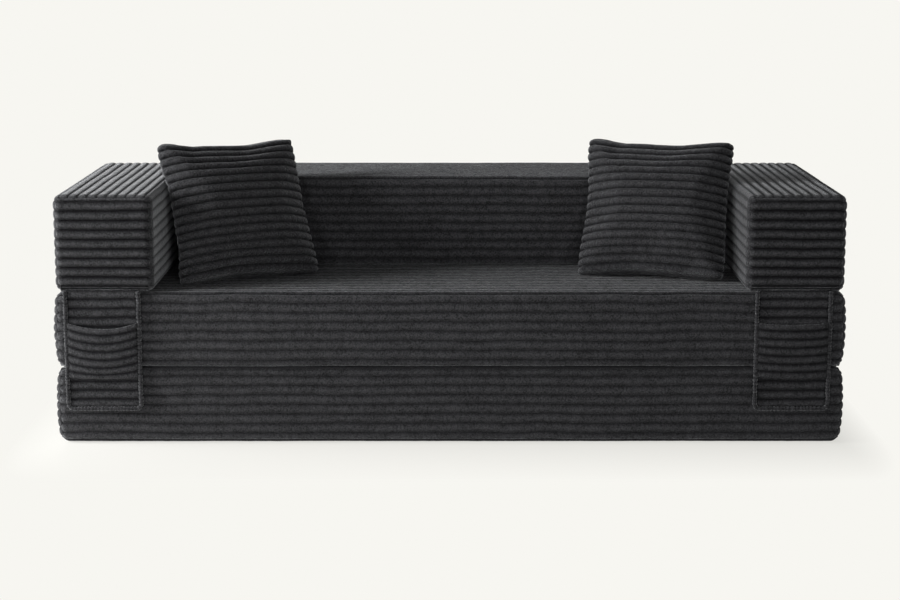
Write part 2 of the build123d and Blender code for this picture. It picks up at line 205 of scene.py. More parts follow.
class Graph(Nodes):
    """The shader nodes of one material, around one Principled shader."""

    def __init__(self, name: str) -> None:
        """Make a material with a shader, its output and coordinates on the piece in metres.

        Args:
            name: The material's name.
        """
        self.material = bpy.data.materials.new(name)
        self.material.use_nodes = True
        super().__init__(self.material.node_tree)
        self.shader = self.tree.nodes.new("ShaderNodeBsdfPrincipled")
        self.surface = self.tree.nodes.new("ShaderNodeOutputMaterial").inputs["Surface"]
        self.tree.links.new(self.shader.outputs[0], self.surface)
        self.place = self.add("ShaderNodeTexCoord", None, None, "Object")

    def axes(self) -> list[Signal]:
        """The coordinates along X, Y and Z."""
        split = self.add("ShaderNodeSeparateXYZ", None, {0: self.place})
        return [split.output(axis) for axis in range(3)]

    def noise(self, size: float, detail: float = 2.0, stretch: Colour = (1.0, 1.0, 1.0)) -> Signal:
        """Soft noise between nothing and one.

        Args:
            size: The size of a blotch in metres.
            detail: How many finer layers it has.
            stretch: How many times finer it is along each axis.

        Returns:
            The noise.
        """
        place = self.add("ShaderNodeVectorMath", {"operation": "MULTIPLY"}, {0: self.place, 1: stretch})
        return self.add("ShaderNodeTexNoise", None, {"Vector": place, "Scale": 1 / size, "Detail": detail})

    def cells(self, size: float, randomness: float = 1.0) -> Signal:
        """How far a point lies from the middle of its cell, counted in cells.

        Args:
            size: The size of a cell in metres.
            randomness: How unevenly the cells lie, from nothing to one.

        Returns:
            The distance.
        """
        sockets = {"Vector": self.place, "Scale": 1 / size, "Randomness": randomness}
        return self.add("ShaderNodeTexVoronoi", {"feature": "F1"}, sockets, "Distance")

    def blend(self, share: Input, first: Input, second: Input) -> Signal:
        """Mix two colours.

        Args:
            share: How much of the second shows.
            first: A colour.
            second: A colour.

        Returns:
            The mixed colour.
        """
        return self.add("ShaderNodeMix", {"data_type": "RGBA"}, {0: share, 6: first, 7: second}, 2)

    def attribute(self, name: str) -> Signal:
        """A value that the mesh carries."""
        return self.add("ShaderNodeAttribute", {"attribute_name": name}, None, "Fac")

    def set(self, **values: Input) -> None:
        """Set the shader's inputs, named with underscores for spaces."""
        for name, value in values.items():
            self.feed(self.shader.inputs[name.replace("_", " ")], value)

    def beyond(self, half: Sequence[float], stretch: float) -> Signal:
        """How far a point of the floor lies from the object.

        Args:
            half: Half the object's length and depth.
            stretch: How many times a distance along the object's length counts.

        Returns:
            The distance.
        """
        sides = [axis.maths("ABSOLUTE", axis) - side for axis, side in zip(self.axes(), half)]
        along, across = (side.maths("MAXIMUM", side, 0.0) for side in sides)
        return ((along * stretch) ** 2.0 + across ** 2.0) ** 0.5

    def cover(self, share: Signal, other: Signal) -> None:
        """Let another shader show over the main one.

        Args:
            share: How much of it shows.
            other: The shader.
        """
        sockets = {0: share, 1: Signal(self, self.shader.outputs[0]), 2: other}
        self.feed(self.surface, self.add("ShaderNodeMixShader", None, sockets))

    def bump(self, height: Signal, depth: float, under: Optional[Signal] = None) -> Signal:
        """Turn a height into a normal.

        Args:
            height: The height, from nothing to one.
            depth: How deep one is, in metres.
            under: Another normal that this one adds to.

        Returns:
            The normal.
        """
        sockets = {"Height": height, "Distance": depth, "Strength": 1.0}
        if under is not None:
            sockets["Normal"] = under
        return self.add("ShaderNodeBump", None, sockets)


@dataclass(frozen=True)
class Maker:
    """What makes a finish's material."""

    name: str

    def build(self) -> bpy.types.Material:
        """Make the material.

        Returns:
            The material.
        """
        graph = Graph(self.name)
        self.shade(graph)
        return graph.material

    def shade(self, graph: Graph) -> None:
        """Add the finish's nodes to a new material."""
        raise NotImplementedError


@dataclass(frozen=True)
class Plush(Maker):
    """Deep pile cloth brushed into soft clumps, with shade painted into its grooves."""

    crest: Colour
    # The colour of the shade painted into the grooves.
    groove: Colour
    brushed: float = 60 * MM
    clump: float = 16 * MM
    fibre: float = 5 * MM
    grain: float = 3.2 * MM
    clump_depth: float = 3.0 * MM
    fibre_depth: float = 3.0 * MM
    pale: float = 1.85
    dull: float = 0.2
    # How much darker the painted groove shade gets where the pile's tone is low.
    deep: float = 0.6
    sheen: float = 0.35
    sheen_tint: Colour = (0.95, 0.97, 1.0)

    def shade(self, graph: Graph) -> None:
        """Add the pile, and the shade painted into its grooves.

        Args:
            graph: The nodes of the material.
        """
        clumps, brushed = graph.noise(self.clump, 3.0), graph.noise(self.brushed)
        fibres, grain = graph.noise(self.fibre), graph.noise(self.grain, 1.0)
        tone = (clumps.ramp(0.38, 0.62) * 0.2 + fibres.ramp(0.4, 0.6) * 0.36 + grain.ramp(0.4, 0.6) * 0.3
                + brushed.ramp(0.3, 0.7) * 0.14)
        soft = graph.bump(clumps, self.clump_depth)
        normal = graph.bump(fibres * 0.7 + grain * 0.3, self.fibre_depth, soft)
        pile = graph.blend(tone, scaled(self.crest, self.dull), scaled(self.crest, self.pale))
        graph.set(Base_Color=pile, Roughness=fibres.ramp(0.2, 0.8, 0.82, 0.98), Sheen_Weight=self.sheen,
                  Sheen_Roughness=0.45, Sheen_Tint=self.sheen_tint, Specular_IOR_Level=0.12, Normal=normal)
        # Painted shade: a dull shader without sheen, in the groove colour, shows over the pile as far as the
        # mesh's groove value says.
        painted_groove_shade = graph.add("ShaderNodeBsdfPrincipled", None, {
            "Base Color": graph.blend(tone, scaled(self.groove, self.deep), self.groove),
            "Roughness": 1.0, "Specular IOR Level": 0.05, "Normal": normal})
        graph.cover(graph.attribute("groove"), painted_groove_shade)


@dataclass(frozen=True)
class Woven(Maker):
    """Plain woven cloth or tape, with threads across each other."""

    light: Colour
    dark: Colour
    thread: float
    depth: float
    dots: float = 0.0
    dot_height: float = 3.0

    def shade(self, graph: Graph) -> None:
        """Add the weave.

        Args:
            graph: The nodes of the material.
        """
        along, across, up = graph.axes()
        rate = math.tau / self.thread
        uneven = graph.noise(14 * MM, 3.0)
        threads = (along * rate).wave() * 0.5 + ((across + up) * rate + uneven * 1.5).wave() * 0.5
        cloth = graph.blend(threads.ramp(0.2, 0.8) * 0.7 + uneven * 0.3, self.dark, self.light)
        height = threads
        if self.dots:
            grips = graph.cells(self.dots, 0.0).ramp(0.3, 0.22)
            cloth = graph.blend(grips, cloth, scaled(self.dark, 0.4))
            height = threads + grips * self.dot_height
        graph.set(Base_Color=cloth, Roughness=uneven.ramp(0.2, 0.8, 0.75, 0.95), Specular_IOR_Level=0.2,
                  Normal=graph.bump(height, self.depth))


@dataclass(frozen=True)
class Tufted(Maker):
    """The face of a fastening strip, thick with tiny hooks or loops."""

    light: Colour
    dark: Colour
    spacing: float
    randomness: float

    def shade(self, graph: Graph) -> None:
        """Add the tufts.

        Args:
            graph: The nodes of the material.
        """
        tufts = graph.cells(self.spacing, self.randomness).ramp(0.55, 0.1)
        wear = graph.noise(25 * MM, 3.0)
        graph.set(Base_Color=graph.blend(tufts * 0.7 + wear * 0.3, self.dark, self.light),
                  Roughness=wear.ramp(0.3, 0.7, 0.5, 0.8), Normal=graph.bump(tufts, 0.8 * MM))


@dataclass(frozen=True)
class Foam(Maker):
    """Open-celled foam or loose filling, pale and pitted."""

    light: Colour
    dark: Colour
    cell: float

    def shade(self, graph: Graph) -> None:
        """Add the pits.

        Args:
            graph: The nodes of the material.
        """
        pits = graph.cells(self.cell).ramp(0.1, 0.7)
        age = graph.noise(120 * MM, 3.0)
        graph.set(Base_Color=graph.blend(pits * 0.6 + age * 0.4, self.dark, self.light),
                  Roughness=age.ramp(0.3, 0.7, 0.85, 0.97), Normal=graph.bump(pits, 0.9 * MM))


@dataclass(frozen=True)
class Plated(Maker):
    """Dark plated zip metal, rubbed brighter where it is handled."""

    bright: Colour
    dark: Colour

    def shade(self, graph: Graph) -> None:
        """Add the wear.

        Args:
            graph: The nodes of the material.
        """
        rubbed = graph.noise(4 * MM, 3.0)
        scratches = graph.noise(0.8 * MM, 2.0, (1.0, 8.0, 8.0))
        graph.set(Base_Color=graph.blend(rubbed.ramp(0.2, 0.8), self.dark, self.bright), Metallic=1.0,
                  Roughness=scratches.ramp(0.3, 0.7, 0.25, 0.5), Normal=graph.bump(scratches, 0.03 * MM))


class Finish(Enum):
    """The finishes of the sofa bed, named after the record's slots."""

    RIBBED_PLUSH = "ribbed_plush"
    PILLOW_PLUSH = "pillow_plush"
    POCKET_PLUSH = "pocket_plush"
    BASE_CLOTH = "base_cloth"
    FOAM = "foam"
    FILLING = "filling"
    LOOP_STRIP = "loop_strip"
    HOOK_STRIP = "hook_strip"
    ZIP_TAPE = "zip_tape"
    ZIP_METAL = "zip_metal"
    WELT = "welt"


CHARCOAL = linear(50, 50, 52)
# The colour of the shade painted into the plush's grooves.
GROOVE_SHADE = linear(15, 15, 17)
INK = linear(24, 24, 27)

MAKERS = {
    Finish.RIBBED_PLUSH: Plush("ribbed plush", CHARCOAL, GROOVE_SHADE),
    Finish.PILLOW_PLUSH: Plush("pillow plush", CHARCOAL, GROOVE_SHADE, fibre=4 * MM),
    Finish.POCKET_PLUSH: Plush("pocket plush", linear(48, 48, 50), GROOVE_SHADE, fibre=4 * MM),
    Finish.BASE_CLOTH: Woven("base cloth", linear(44, 44, 48), INK, 1.6 * MM, 0.4 * MM, 18 * MM),
    Finish.FOAM: Foam("foam", linear(236, 228, 205), linear(205, 190, 155), 2.5 * MM),
    Finish.FILLING: Foam("filling", linear(240, 240, 238), linear(214, 214, 212), 6 * MM),
    Finish.LOOP_STRIP: Tufted("loop strip", linear(62, 62, 66), INK, 1.3 * MM, 1.0),
    Finish.HOOK_STRIP: Tufted("hook strip", linear(58, 58, 62), linear(14, 14, 16), 1.6 * MM, 0.15),
    Finish.ZIP_TAPE: Woven("zip tape", linear(46, 46, 50), linear(18, 18, 20), 0.9 * MM, 0.25 * MM),
    Finish.ZIP_METAL: Plated("zip metal", linear(140, 140, 143), linear(95, 95, 99)),
    Finish.WELT: Woven("welt", linear(36, 36, 39), linear(12, 12, 14), 1.0 * MM, 0.3 * MM),
}
MATERIALS = {finish: maker.build() for finish, maker in MAKERS.items()}


# Meshes


def linked(name: str, data: bpy.types.ID) -> bpy.types.Object:
    """Put data into the scene as an object.

    Args:
        name: The object's name.
        data: Its mesh, curve, lamp or camera.

    Returns:
        The object.
    """
    thing = bpy.data.objects.new(name, data)
    bpy.context.scene.collection.objects.link(thing)
    return thing


def points_at(x: Values, y: Values, z: Values) -> np.ndarray:
    """Points from their coordinates, of which any may be one number for all."""
    return np.stack(np.broadcast_arrays(x, y, z), axis=-1)


def points_of(mesh: bpy.types.Mesh) -> np.ndarray:
    """The points of a mesh."""
    return np.array([vertex.co for vertex in mesh.vertices])


def move_points(mesh: bpy.types.Mesh, points: np.ndarray) -> None:
    """Give the points of a mesh other places."""
    mesh.vertices.foreach_set("co", points.astype(np.float32).reshape(-1))


def rise(distance: np.ndarray, reach: Values) -> np.ndarray:
    """A share that grows from nothing at zero to one at a reach, and stays there."""
    return np.clip(distance / reach, 0, 1)


def run_along(line: np.ndarray) -> np.ndarray:
    """How far along a line each of its points lies."""
    return np.concatenate([[0.0], np.cumsum(np.linalg.norm(np.diff(line, axis=0), axis=1))])


def rim_of(shape: tuple[int, ...]) -> np.ndarray:
    """Which points of a grid lie on its rim."""
    return np.pad(np.zeros((shape[0] - 2, shape[1] - 2), bool), 1, constant_values=True)


def patches(seed: int, u: np.ndarray, v: np.ndarray, size: float) -> np.ndarray:
    """Smooth seeded unevenness over a surface.

    Args:
        seed: Picks the pattern.
        u: One coordinate of every point.
        v: The other coordinate.
        size: The size of a patch.

    Returns:
        A value between -1 and 1 for every point.
    """
    a, b = (u - u.min()) / size, (v - v.min()) / size
    table = np.random.default_rng(seed).uniform(-1, 1, (int(a.max()) + 2, int(b.max()) + 2))
    i, j = a.astype(int), b.astype(int)
    s, t = a - i, b - j
    s, t = s * s * (3 - 2 * s), t * t * (3 - 2 * t)
    low = table[i, j] * (1 - s) + table[i + 1, j] * s
    high = table[i, j + 1] * (1 - s) + table[i + 1, j + 1] * s
    return low * (1 - t) + high * t


def mesh_object(name: str, points: np.ndarray, faces: Sequence, groove: Optional[np.ndarray] = None,
                smooth: bool = True) -> bpy.types.Object:
    """Make an object of points and faces.

    Args:
        name: The piece's name.
        points: Its points in metres.
        faces: Its faces as lists of point numbers.
        groove: The shade painted at each point, from nothing on a rib to one deep in a groove.
        smooth: Whether it is shaded smooth.

    Returns:
        The object.
    """
    mesh = bpy.data.meshes.new(name)
    mesh.from_pydata(points.reshape(-1, 3).tolist(), [], [list(face) for face in faces])
    mesh.polygons.foreach_set("use_smooth", [smooth] * len(mesh.polygons))
    # The groove value is painted shade, which the plush materials darken by.
    depth = np.zeros(len(mesh.vertices)) if groove is None else np.clip(groove, 0, 1).reshape(-1)
    mesh.attributes.new("groove", "FLOAT", "POINT").data.foreach_set("value", depth.astype(np.float32))
    mesh.validate()
    return linked(name, mesh)


def welded(thing: bpy.types.Object) -> bpy.types.Object:
    """Join the points of a piece that lie in one place.

    Args:
        thing: The piece.

    Returns:
        The piece.
    """
    form = bmesh.new()
    form.from_mesh(thing.data)
    bmesh.ops.remove_doubles(form, verts=form.verts, dist=1e-6)
    form.to_mesh(thing.data)
    form.free()
    return thing


def grid_faces(rows: int, columns: int, closed: bool = False) -> np.ndarray:
    """The faces between the points of a grid.

    Args:
        rows: How many rows of points there are.
        columns: How many points a row has.
        closed: Whether each row's end joins its start.

    Returns:
        Four point numbers for each face.
    """
    numbers = np.arange(rows * columns).reshape(rows, columns)
    if closed:
        numbers = np.hstack([numbers, numbers[:, :1]])
    corners = (numbers[:-1, :-1], numbers[:-1, 1:], numbers[1:, 1:], numbers[1:, :-1])
    return np.stack([corner.reshape(-1) for corner in corners], axis=1)


def dressed(thing: bpy.types.Object, finish: Finish, body: str, *nodes: str) -> bpy.types.Object:
    """Give a piece its finish, let it ride on a body and stand for CAD nodes.

    Args:
        thing: The piece.
        finish: Its finish.
        body: The body that it moves with.
        nodes: The nodes that it stands for.

    Returns:
        The piece.
    """
    thing.data.materials.clear()
    thing.data.materials.append(MATERIALS[finish])
    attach(thing, body)
    if nodes:
        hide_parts(*nodes)
    log.info("%s rides on %s, %d points", thing.name, body, len(thing.data.vertices))
    return thing


def node_box(*nodes: str) -> tuple[Vector, Vector]:
    """The lowest and highest corner of several nodes together."""
    lows, highs = zip(*(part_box(node) for node in nodes))
    return Vector([min(part) for part in zip(*lows)]), Vector([max(part) for part in zip(*highs)])


# The covered blocks


@dataclass(frozen=True)
class Ribs:
    """How the ribs of the plush are rounded, how evenly they lie, and how much shade is painted into their
    grooves.
    """

    pitch: float = 25 * MM
    depth: float = 6.0 * MM
    samples: int = 8
    wander: float = 1.3 * MM
    unevenness: float = 0.7 * MM
    tip: float = 10 * MM
    narrowing: float = 1.25
    # How dark the shade painted into the grooves gets.
    painted_shade: float = 0.62
    bluntness: float = 2.2

    def across(self, grooves: Sequence[float]) -> tuple[np.ndarray, np.ndarray]:
        """Places across the ribs, closer together near their grooves.

        Args:
            grooves: Where the grooves lie.

        Returns:
            The places up to the last groove, and their phase, which is a whole number in a groove.
        """
        share = 0.5 - 0.5 * np.cos(np.pi * np.arange(self.samples) / self.samples)
        places = [low + (high - low) * share for low, high in zip(grooves, grooves[1:])]
        phases = [number + share for number in range(len(places))]
        return np.append(np.concatenate(places), grooves[-1]), np.append(np.concatenate(phases), len(places))

    def crest(self, phase: np.ndarray) -> np.ndarray:
        """How high the cloth stands, from nothing in a groove to one on a rib.

        Args:
            phase: The place across the ribs, counted in ribs.

        Returns:
            The height for each place.
        """
        across = np.abs(2 * (phase - np.floor(phase)) - 1)
        return (1 - np.minimum(across, 1) ** self.bluntness) ** 0.8

    def shade(self, phase: np.ndarray, crest: np.ndarray) -> np.ndarray:
        """The shade painted on the pile, softly from a rib's middle to the grooves and to the tips where the
        ribs round into a seam.

        Args:
            phase: The place across the ribs, counted in ribs.
            crest: How high the cloth stands there.

        Returns:
            From nothing on a rib to one in a groove.
        """
        groove = (0.5 + 0.5 * np.cos(math.tau * phase)) ** self.narrowing
        return self.painted_shade * np.maximum(groove, (1 - crest) ** 1.4)

    def rounded_tip(self, distance: np.ndarray, length: Values) -> np.ndarray:
        """How a rib's end rounds down into a seam.

        Args:
            distance: The distance from the seam.
            length: How far the rounding reaches.

        Returns:
            From nothing at the seam to one beyond the rounding.
        """
        return np.sqrt(1 - (1 - rise(distance, length)) ** 2)

    def tips(self, seed: int, phase: np.ndarray, across: np.ndarray, size: float) -> np.ndarray:
        """How far the rounding of each rib's end reaches, a little different from rib to rib.

        Args:
            seed: Picks the pattern.
            phase: The place across the ribs, counted in ribs.
            across: The place along the ribs.
            size: How far along the ribs one length reaches.

        Returns:
            The length for each place.
        """
        return self.tip * (1 + 0.3 * patches(seed, np.floor(phase), across, size))


@dataclass
class Outline:
    """A block's section as a dense line with its normals, measured along its length."""

    half: float
    height: float
    low_radius: float
    high_radius: float
    mouth: float
    along: np.ndarray = field(init=False)
    points: np.ndarray = field(init=False)
    normals: np.ndarray = field(init=False)

    def __post_init__(self) -> None:
        """Draw the right half from the mouth up and mirror it."""
        low, high = self.low_radius, self.high_radius
        turns = [(math.cos(a), math.sin(a)) for a in np.linspace(0, math.pi / 2, 24)]
        right = [(self.mouth, 0.0, 0.0, -1.0)]
        right += [(self.half - low + low * sin, low - low * cos, sin, -cos) for cos, sin in turns]
        right += [(self.half - high + high * cos, self.height - high + high * sin, cos, sin)
                  for cos, sin in turns]
        left = [(-y, z, -ny, nz) for y, z, ny, nz in reversed(right)]
        line = np.array(right + left)
        self.points, self.normals = line[:, :2], line[:, 2:]
        self.along = run_along(self.points)

    def at(self, s: np.ndarray) -> tuple[np.ndarray, np.ndarray, np.ndarray, np.ndarray]:
        """The points and outward normals of the line.

        Args:
            s: Distances along the line.

        Returns:
            The points' Y and Z, and the normals' Y and Z.
        """
        columns = [np.interp(s, self.along, column) for column in (*self.points.T, *self.normals.T)]
        size = np.maximum(np.hypot(columns[2], columns[3]), 1e-9)
        return columns[0], columns[1], columns[2] / size, columns[3] / size

    def side_at(self, height: float) -> float:
        """How far along the line the right side reaches a height."""
        half = len(self.along) // 2
        return float(np.interp(height, self.points[1:half, 1], self.along[1:half]))


def outside(x: np.ndarray, y: np.ndarray, length: float, width: float) -> np.ndarray:
    """How far points lie outside a rectangle round the origin, and below nothing inside it."""
    return np.maximum(np.abs(x) - length / 2, np.abs(y) - width / 2)


@dataclass(frozen=True)
class Slot:
    """A long recess in a plush face, with straight lips."""

    length: float
    width: float = 26 * MM
    depth: float = 9.8 * MM
    lip: float = 1.2 * MM

    def edges(self, span: float) -> np.ndarray:
        """Places on both sides of each lip of a recess that is so wide, measured from its middle."""
        return np.array([-span / 2 - self.lip, -span / 2, span / 2, span / 2 + self.lip])

    def share(self, along: np.ndarray, across: np.ndarray) -> np.ndarray:
        """One inside the recess and nothing beyond its lips."""
        return np.clip(1 - outside(along, across, self.length, self.width) / self.lip, 0, 1)


@dataclass(frozen=True)
class Patch:
    """A rectangle that a fastening strip covers, between two corners on a block's own X and Y."""

    x: float
    y: float
    length: float
    width: float
    margin: float = 3 * MM
    fade: float = 8 * MM

    def share(self, x: np.ndarray, y: np.ndarray) -> np.ndarray:
        """One under the strip and a little around it, fading to nothing."""
        beyond = outside(x - self.x, y - self.y, self.length, self.width)
        return np.clip(1 - (beyond - self.margin) / self.fade, 0, 1)


@dataclass
class PlushBlock:
    """A foam block along its own X, in a ribbed wrap with a sewn panel at each end."""

    name: str
    end_nodes: tuple[str, str]
    place: Matrix
    length: float
    span: float
    height: float
    seed: int
    first_groove: float = 21.5 * MM
    panel_groove: float = 21.5 * MM
    open_below: bool = False
    edge: float = 24 * MM
    low_edge: float = 18 * MM
    seam_share: float = 0.7
    ribs: Ribs = Ribs()
    step: float = 9 * MM
    fine_step: float = 2 * MM
    fine_reach: float = 30 * MM
    swell: float = 2 * MM
    mouth: float = 26 * MM
    top_band: float = 9 * MM
    seam_lift: float = 0.2 * MM
    pucker_reach: float = 7 * MM
    wrap_pucker: tuple[float, float] = (1.4 * MM, 8 * MM)
    wrap_wander: float = 90 * MM
    wrap_hollow: float = 140 * MM
    wrap_lump: float = 18 * MM
    panel_pucker: tuple[float, float] = (1.6 * MM, 9 * MM)
    panel_wander: float = 70 * MM
    panel_lump: float = 45 * MM
    panel_tip: float = 60 * MM
    face: float = 1 * MM
    base_depth: float = 2.4 * MM
    press_depth: float = 2.6 * MM
    allowance: float = 7 * MM
    tuck: float = 6 * MM
    end_ribs: Optional[Ribs] = None
    slot: Optional[Slot] = None
    rear: int = 1
    slot_in_end: bool = False
    pressed: tuple[Patch, ...] = ()

    @property
    def seam_inset(self) -> float:
        """How far the seam lies inside the block's faces, halfway round its edge."""
        return self.edge * (1 - math.sqrt(1 - self.seam_share ** 2))

    @property
    def seam_x(self) -> float:
        """Where the seam lies along the block."""
        return self.length / 2 - self.edge * (1 - self.seam_share)

    def build(self) -> None:
        """Make the wrap and both panels."""
        for piece in (self.wrap(), self.panel(-1, self.end_nodes[0]), self.panel(1, self.end_nodes[1])):
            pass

    def across_wrap(self, outline: Outline) -> tuple[np.ndarray, np.ndarray]:
        """Where the wrap is sampled along its section, and the rib phase there.

        Args:
            outline: The section.

        Returns:
            Distances along the section, and the phase counted in ribs (a whole number is a groove).
        """
        total, foot = outline.along[-1], outline.along[1]
        first = outline.side_at(self.first_groove)
        count = max(1, round((total - 2 * first) / self.ribs.pitch))
        grooves = [foot, *np.linspace(first, total - first, count + 1), total - foot]
        s, phase = self.ribs.across(grooves)
        under = max(6, int(foot / (7 * MM)))
        s = np.concatenate([np.linspace(0, foot, under, endpoint=False), s[:-1],
                            np.linspace(total - foot, total, under)])
        phase = np.concatenate([np.full(under, 0.5), phase[:-1], np.full(under, 0.5)])
        if self.slot and not self.slot_in_end:
            return self.with_lips(s, phase, self.slot_middle(outline))
        return s, phase

    def with_lips(self, places: np.ndarray, phase: np.ndarray,
                  middle: float) -> tuple[np.ndarray, np.ndarray]:
        """Add places at the lips of the zip's recess.

        Args:
            places: Places across the ribs.
            phase: Their phase.
            middle: Where the recess's middle lies.

        Returns:
            The places and their phase.
        """
        more = np.union1d(places, middle + self.slot.edges(self.slot.width))
        return more, np.interp(more, places, phase)

    def slot_middle(self, outline: Outline) -> float:
        """How far along the section the middle of the zip's recess lies."""
        middle = outline.side_at(self.height / 2)
        return middle if self.rear > 0 else outline.along[-1] - middle

    def along_wrap(self) -> np.ndarray:
        """Where the wrap is sampled along the block, closely near its seams.

        Returns:
            The places from end to end.
        """
        fine = np.arange(0, self.fine_reach, self.fine_step)
        inner = self.seam_x - self.fine_reach
        middle = np.linspace(-inner, inner, max(4, int(2 * inner / self.step)))
        places = np.concatenate([-self.seam_x + fine, middle, self.seam_x - fine[::-1]])
        if self.slot and not self.slot_in_end:
            places = np.union1d(places, self.slot.edges(self.slot.length))
        return places

    def wrap(self) -> bpy.types.Object:
        """The ribbed cloth around the block.

        Returns:
            The piece.
        """
        mouth = self.span / 2 - self.mouth if self.open_below else 0.0
        outline = Outline(self.span / 2, self.height, self.low_edge, self.edge, mouth)
        s, phase = self.across_wrap(outline)
        x = self.along_wrap()
        s_grid, x_grid = np.meshgrid(s, x)
        phase_grid = np.broadcast_to(phase, s_grid.shape)
        wander = self.ribs.wander * patches(self.seed, s_grid, x_grid, self.wrap_wander)
        in_wrap = self.slot is not None and not self.slot_in_end
        if in_wrap:
            from_lip = np.abs(s_grid - self.slot_middle(outline)) - self.slot.width / 2
            wander *= rise(np.abs(from_lip) - 2 * MM, 12 * MM)
        y, z, normal_y, normal_z = outline.at(np.clip(s_grid + wander, 0, outline.along[-1]))
        crest = self.ribs.crest(phase_grid)
        crest[:, phase == 0.5] = 1.0
        seam = self.seam_x - np.abs(x_grid)
        tips = self.ribs.tips(self.seed + 1, phase_grid, np.sign(x_grid), 1.0)
        crest = crest * self.ribs.rounded_tip(seam + self.seam_lift, tips)
        bend = np.clip(np.abs(x_grid) - (self.length / 2 - self.edge), 0, self.edge)
        inset = self.edge - np.sqrt(self.edge ** 2 - bend ** 2)
        hollows = 0.5 + 0.5 * patches(self.seed + 2, s_grid, x_grid, self.wrap_hollow)
        lumps = 0.5 + 0.5 * patches(self.seed + 3, s_grid, x_grid, self.wrap_lump)
        sunk = inset + self.ribs.depth * (1 - crest) + self.ribs.unevenness * (hollows + 0.6 * lumps)
        sunk += self.puckers(self.seed + 4, s_grid, x_grid, seam, *self.wrap_pucker)
        under = z < self.face
        sunk[under] = self.base_depth if self.open_below else np.minimum(sunk[under], self.face)
        facing = z > self.height - self.face if self.open_below else under
        for patch in self.pressed:
            sunk = np.maximum(sunk, self.press_depth * patch.share(x_grid, y) * facing)
        if in_wrap:
            inside = self.slot.share(x_grid, z - self.height / 2) * (y * self.rear > 0)
            sunk = sunk + inside * (self.slot.depth - sunk)
        sunk[[0, -1]] += self.tuck
        points = self.bulged(points_at(x_grid, y - normal_y * sunk, z - normal_z * sunk))
        # The points carry painted shade in the grooves and where the ribs round into the seams.
        return self.piece("plush_cover", points, self.ribs.shade(phase_grid, crest), self.name + "_cover")

    def puckers(self, seed: int, u: np.ndarray, v: np.ndarray, from_seam: np.ndarray, depth: float,
                size: float) -> np.ndarray:
        """How deep the cloth is drawn in near a seam.

        Args:
            seed: Picks the pattern.
            u: One coordinate of every point.
            v: The other coordinate.
            from_seam: The distance from the seam.
            depth: Half the depth of the deepest pucker.
            size: The size of a pucker.

        Returns:
            The depth for each point.
        """
        return depth * (1 + patches(seed, u, v, size)) * np.exp(-from_seam / self.pucker_reach)

    def piece(self, name: str, points: np.ndarray, dark: np.ndarray, node: str) -> bpy.types.Object:
        """Make a piece of the block's plush and put it in its place.

        Args:
            name: The end of its name.
            points: Its grid of points.
            dark: The shade painted at each point.
            node: The node that it stands for.

        Returns:
            The piece.
        """
        piece = mesh_object(f"{self.name}_{name}", points, grid_faces(*dark.shape), dark)
        piece.data.transform(self.place)
        return dressed(piece, Finish.RIBBED_PLUSH, self.name, node)

    def panel(self, side: int, node: str) -> bpy.types.Object:
        """The ribbed panel sewn in at one end.

        Args:
            side: -1 for the low end of X, 1 for the high end.
            node: The node that it stands for.

        Returns:
            The piece.
        """
        ribs = self.end_ribs or self.ribs
        half, low, high = self.span / 2 - self.seam_inset, self.seam_inset, self.height - self.seam_inset
        radius = self.edge - self.seam_inset
        last = high - self.top_band
        count = int((last - self.panel_groove) / ribs.pitch + 0.5)
        z, phase = ribs.across([low, *np.linspace(self.panel_groove, last, count + 1), high])
        slotted = self.slot is not None and self.slot_in_end and side > 0
        near = np.concatenate([np.arange(0, self.edge, self.fine_step),
                               np.linspace(self.edge, half, int(half / (6 * MM)))])
        shares = np.concatenate([-1 + near / half, (1 - near / half)[::-1][1:]])
        if slotted:
            z, phase = self.with_lips(z, phase, self.height / 2)
            shares = np.union1d(shares, self.slot.edges(self.slot.length) / half)
        share_grid, z_grid = np.meshgrid(shares, z)
        phase_grid = np.broadcast_to(phase[:, None], z_grid.shape)
        corner = np.maximum(0, radius - np.minimum(z_grid - low, high - z_grid))
        y = share_grid * (half - radius + np.sqrt(np.maximum(0, radius ** 2 - corner ** 2)))
        from_middle = np.abs(z_grid - (low + high) / 2)
        beyond = np.stack([np.abs(y) - half + radius, from_middle - (high - low) / 2 + radius])
        rounded_off = np.hypot(*np.maximum(beyond, 0)) + np.minimum(beyond.max(axis=0), 0)
        distance = np.clip(radius - rounded_off, 0, None)
        crest = ribs.crest(phase_grid)
        crest[-1] = 0
        tips = ribs.tips(self.seed + 11 + side, phase_grid, y, self.panel_tip)
        crest = crest * ribs.rounded_tip(distance + self.seam_lift, tips)
        bend = np.clip(self.seam_share * self.edge - distance, 0, self.edge)
        x = self.length / 2 - self.edge + np.sqrt(self.edge ** 2 - bend ** 2)
        uneven = 1 + patches(self.seed + 12 + side, y, z_grid, self.panel_lump)
        puckers = self.puckers(self.seed + 14 + side, y, z_grid, distance, *self.panel_pucker)
        x = x - ribs.depth * (1 - crest) - ribs.unevenness * 0.7 * uneven - puckers
        wander = ribs.wander * patches(self.seed + 13 + side, y, z_grid, self.panel_wander)
        z_moved = z_grid + wander * rise(distance, self.edge)
        if slotted:
            inside = self.slot.share(y, z_grid - self.height / 2)
            x = x + inside * (self.length / 2 - self.slot.depth - x)
            z_moved = np.where(np.abs(z_grid - self.height / 2) < 16 * MM, z_grid, z_moved)
        points = self.bulged(points_at(x * side, y * side, z_moved))
        # The points carry painted shade in the grooves and where the ribs round into the seams.
        points, dark = self.skirted(points, ribs.shade(phase_grid, crest), side)
        return self.piece("end_plush_low" if side < 0 else "end_plush_high", points, dark, node)

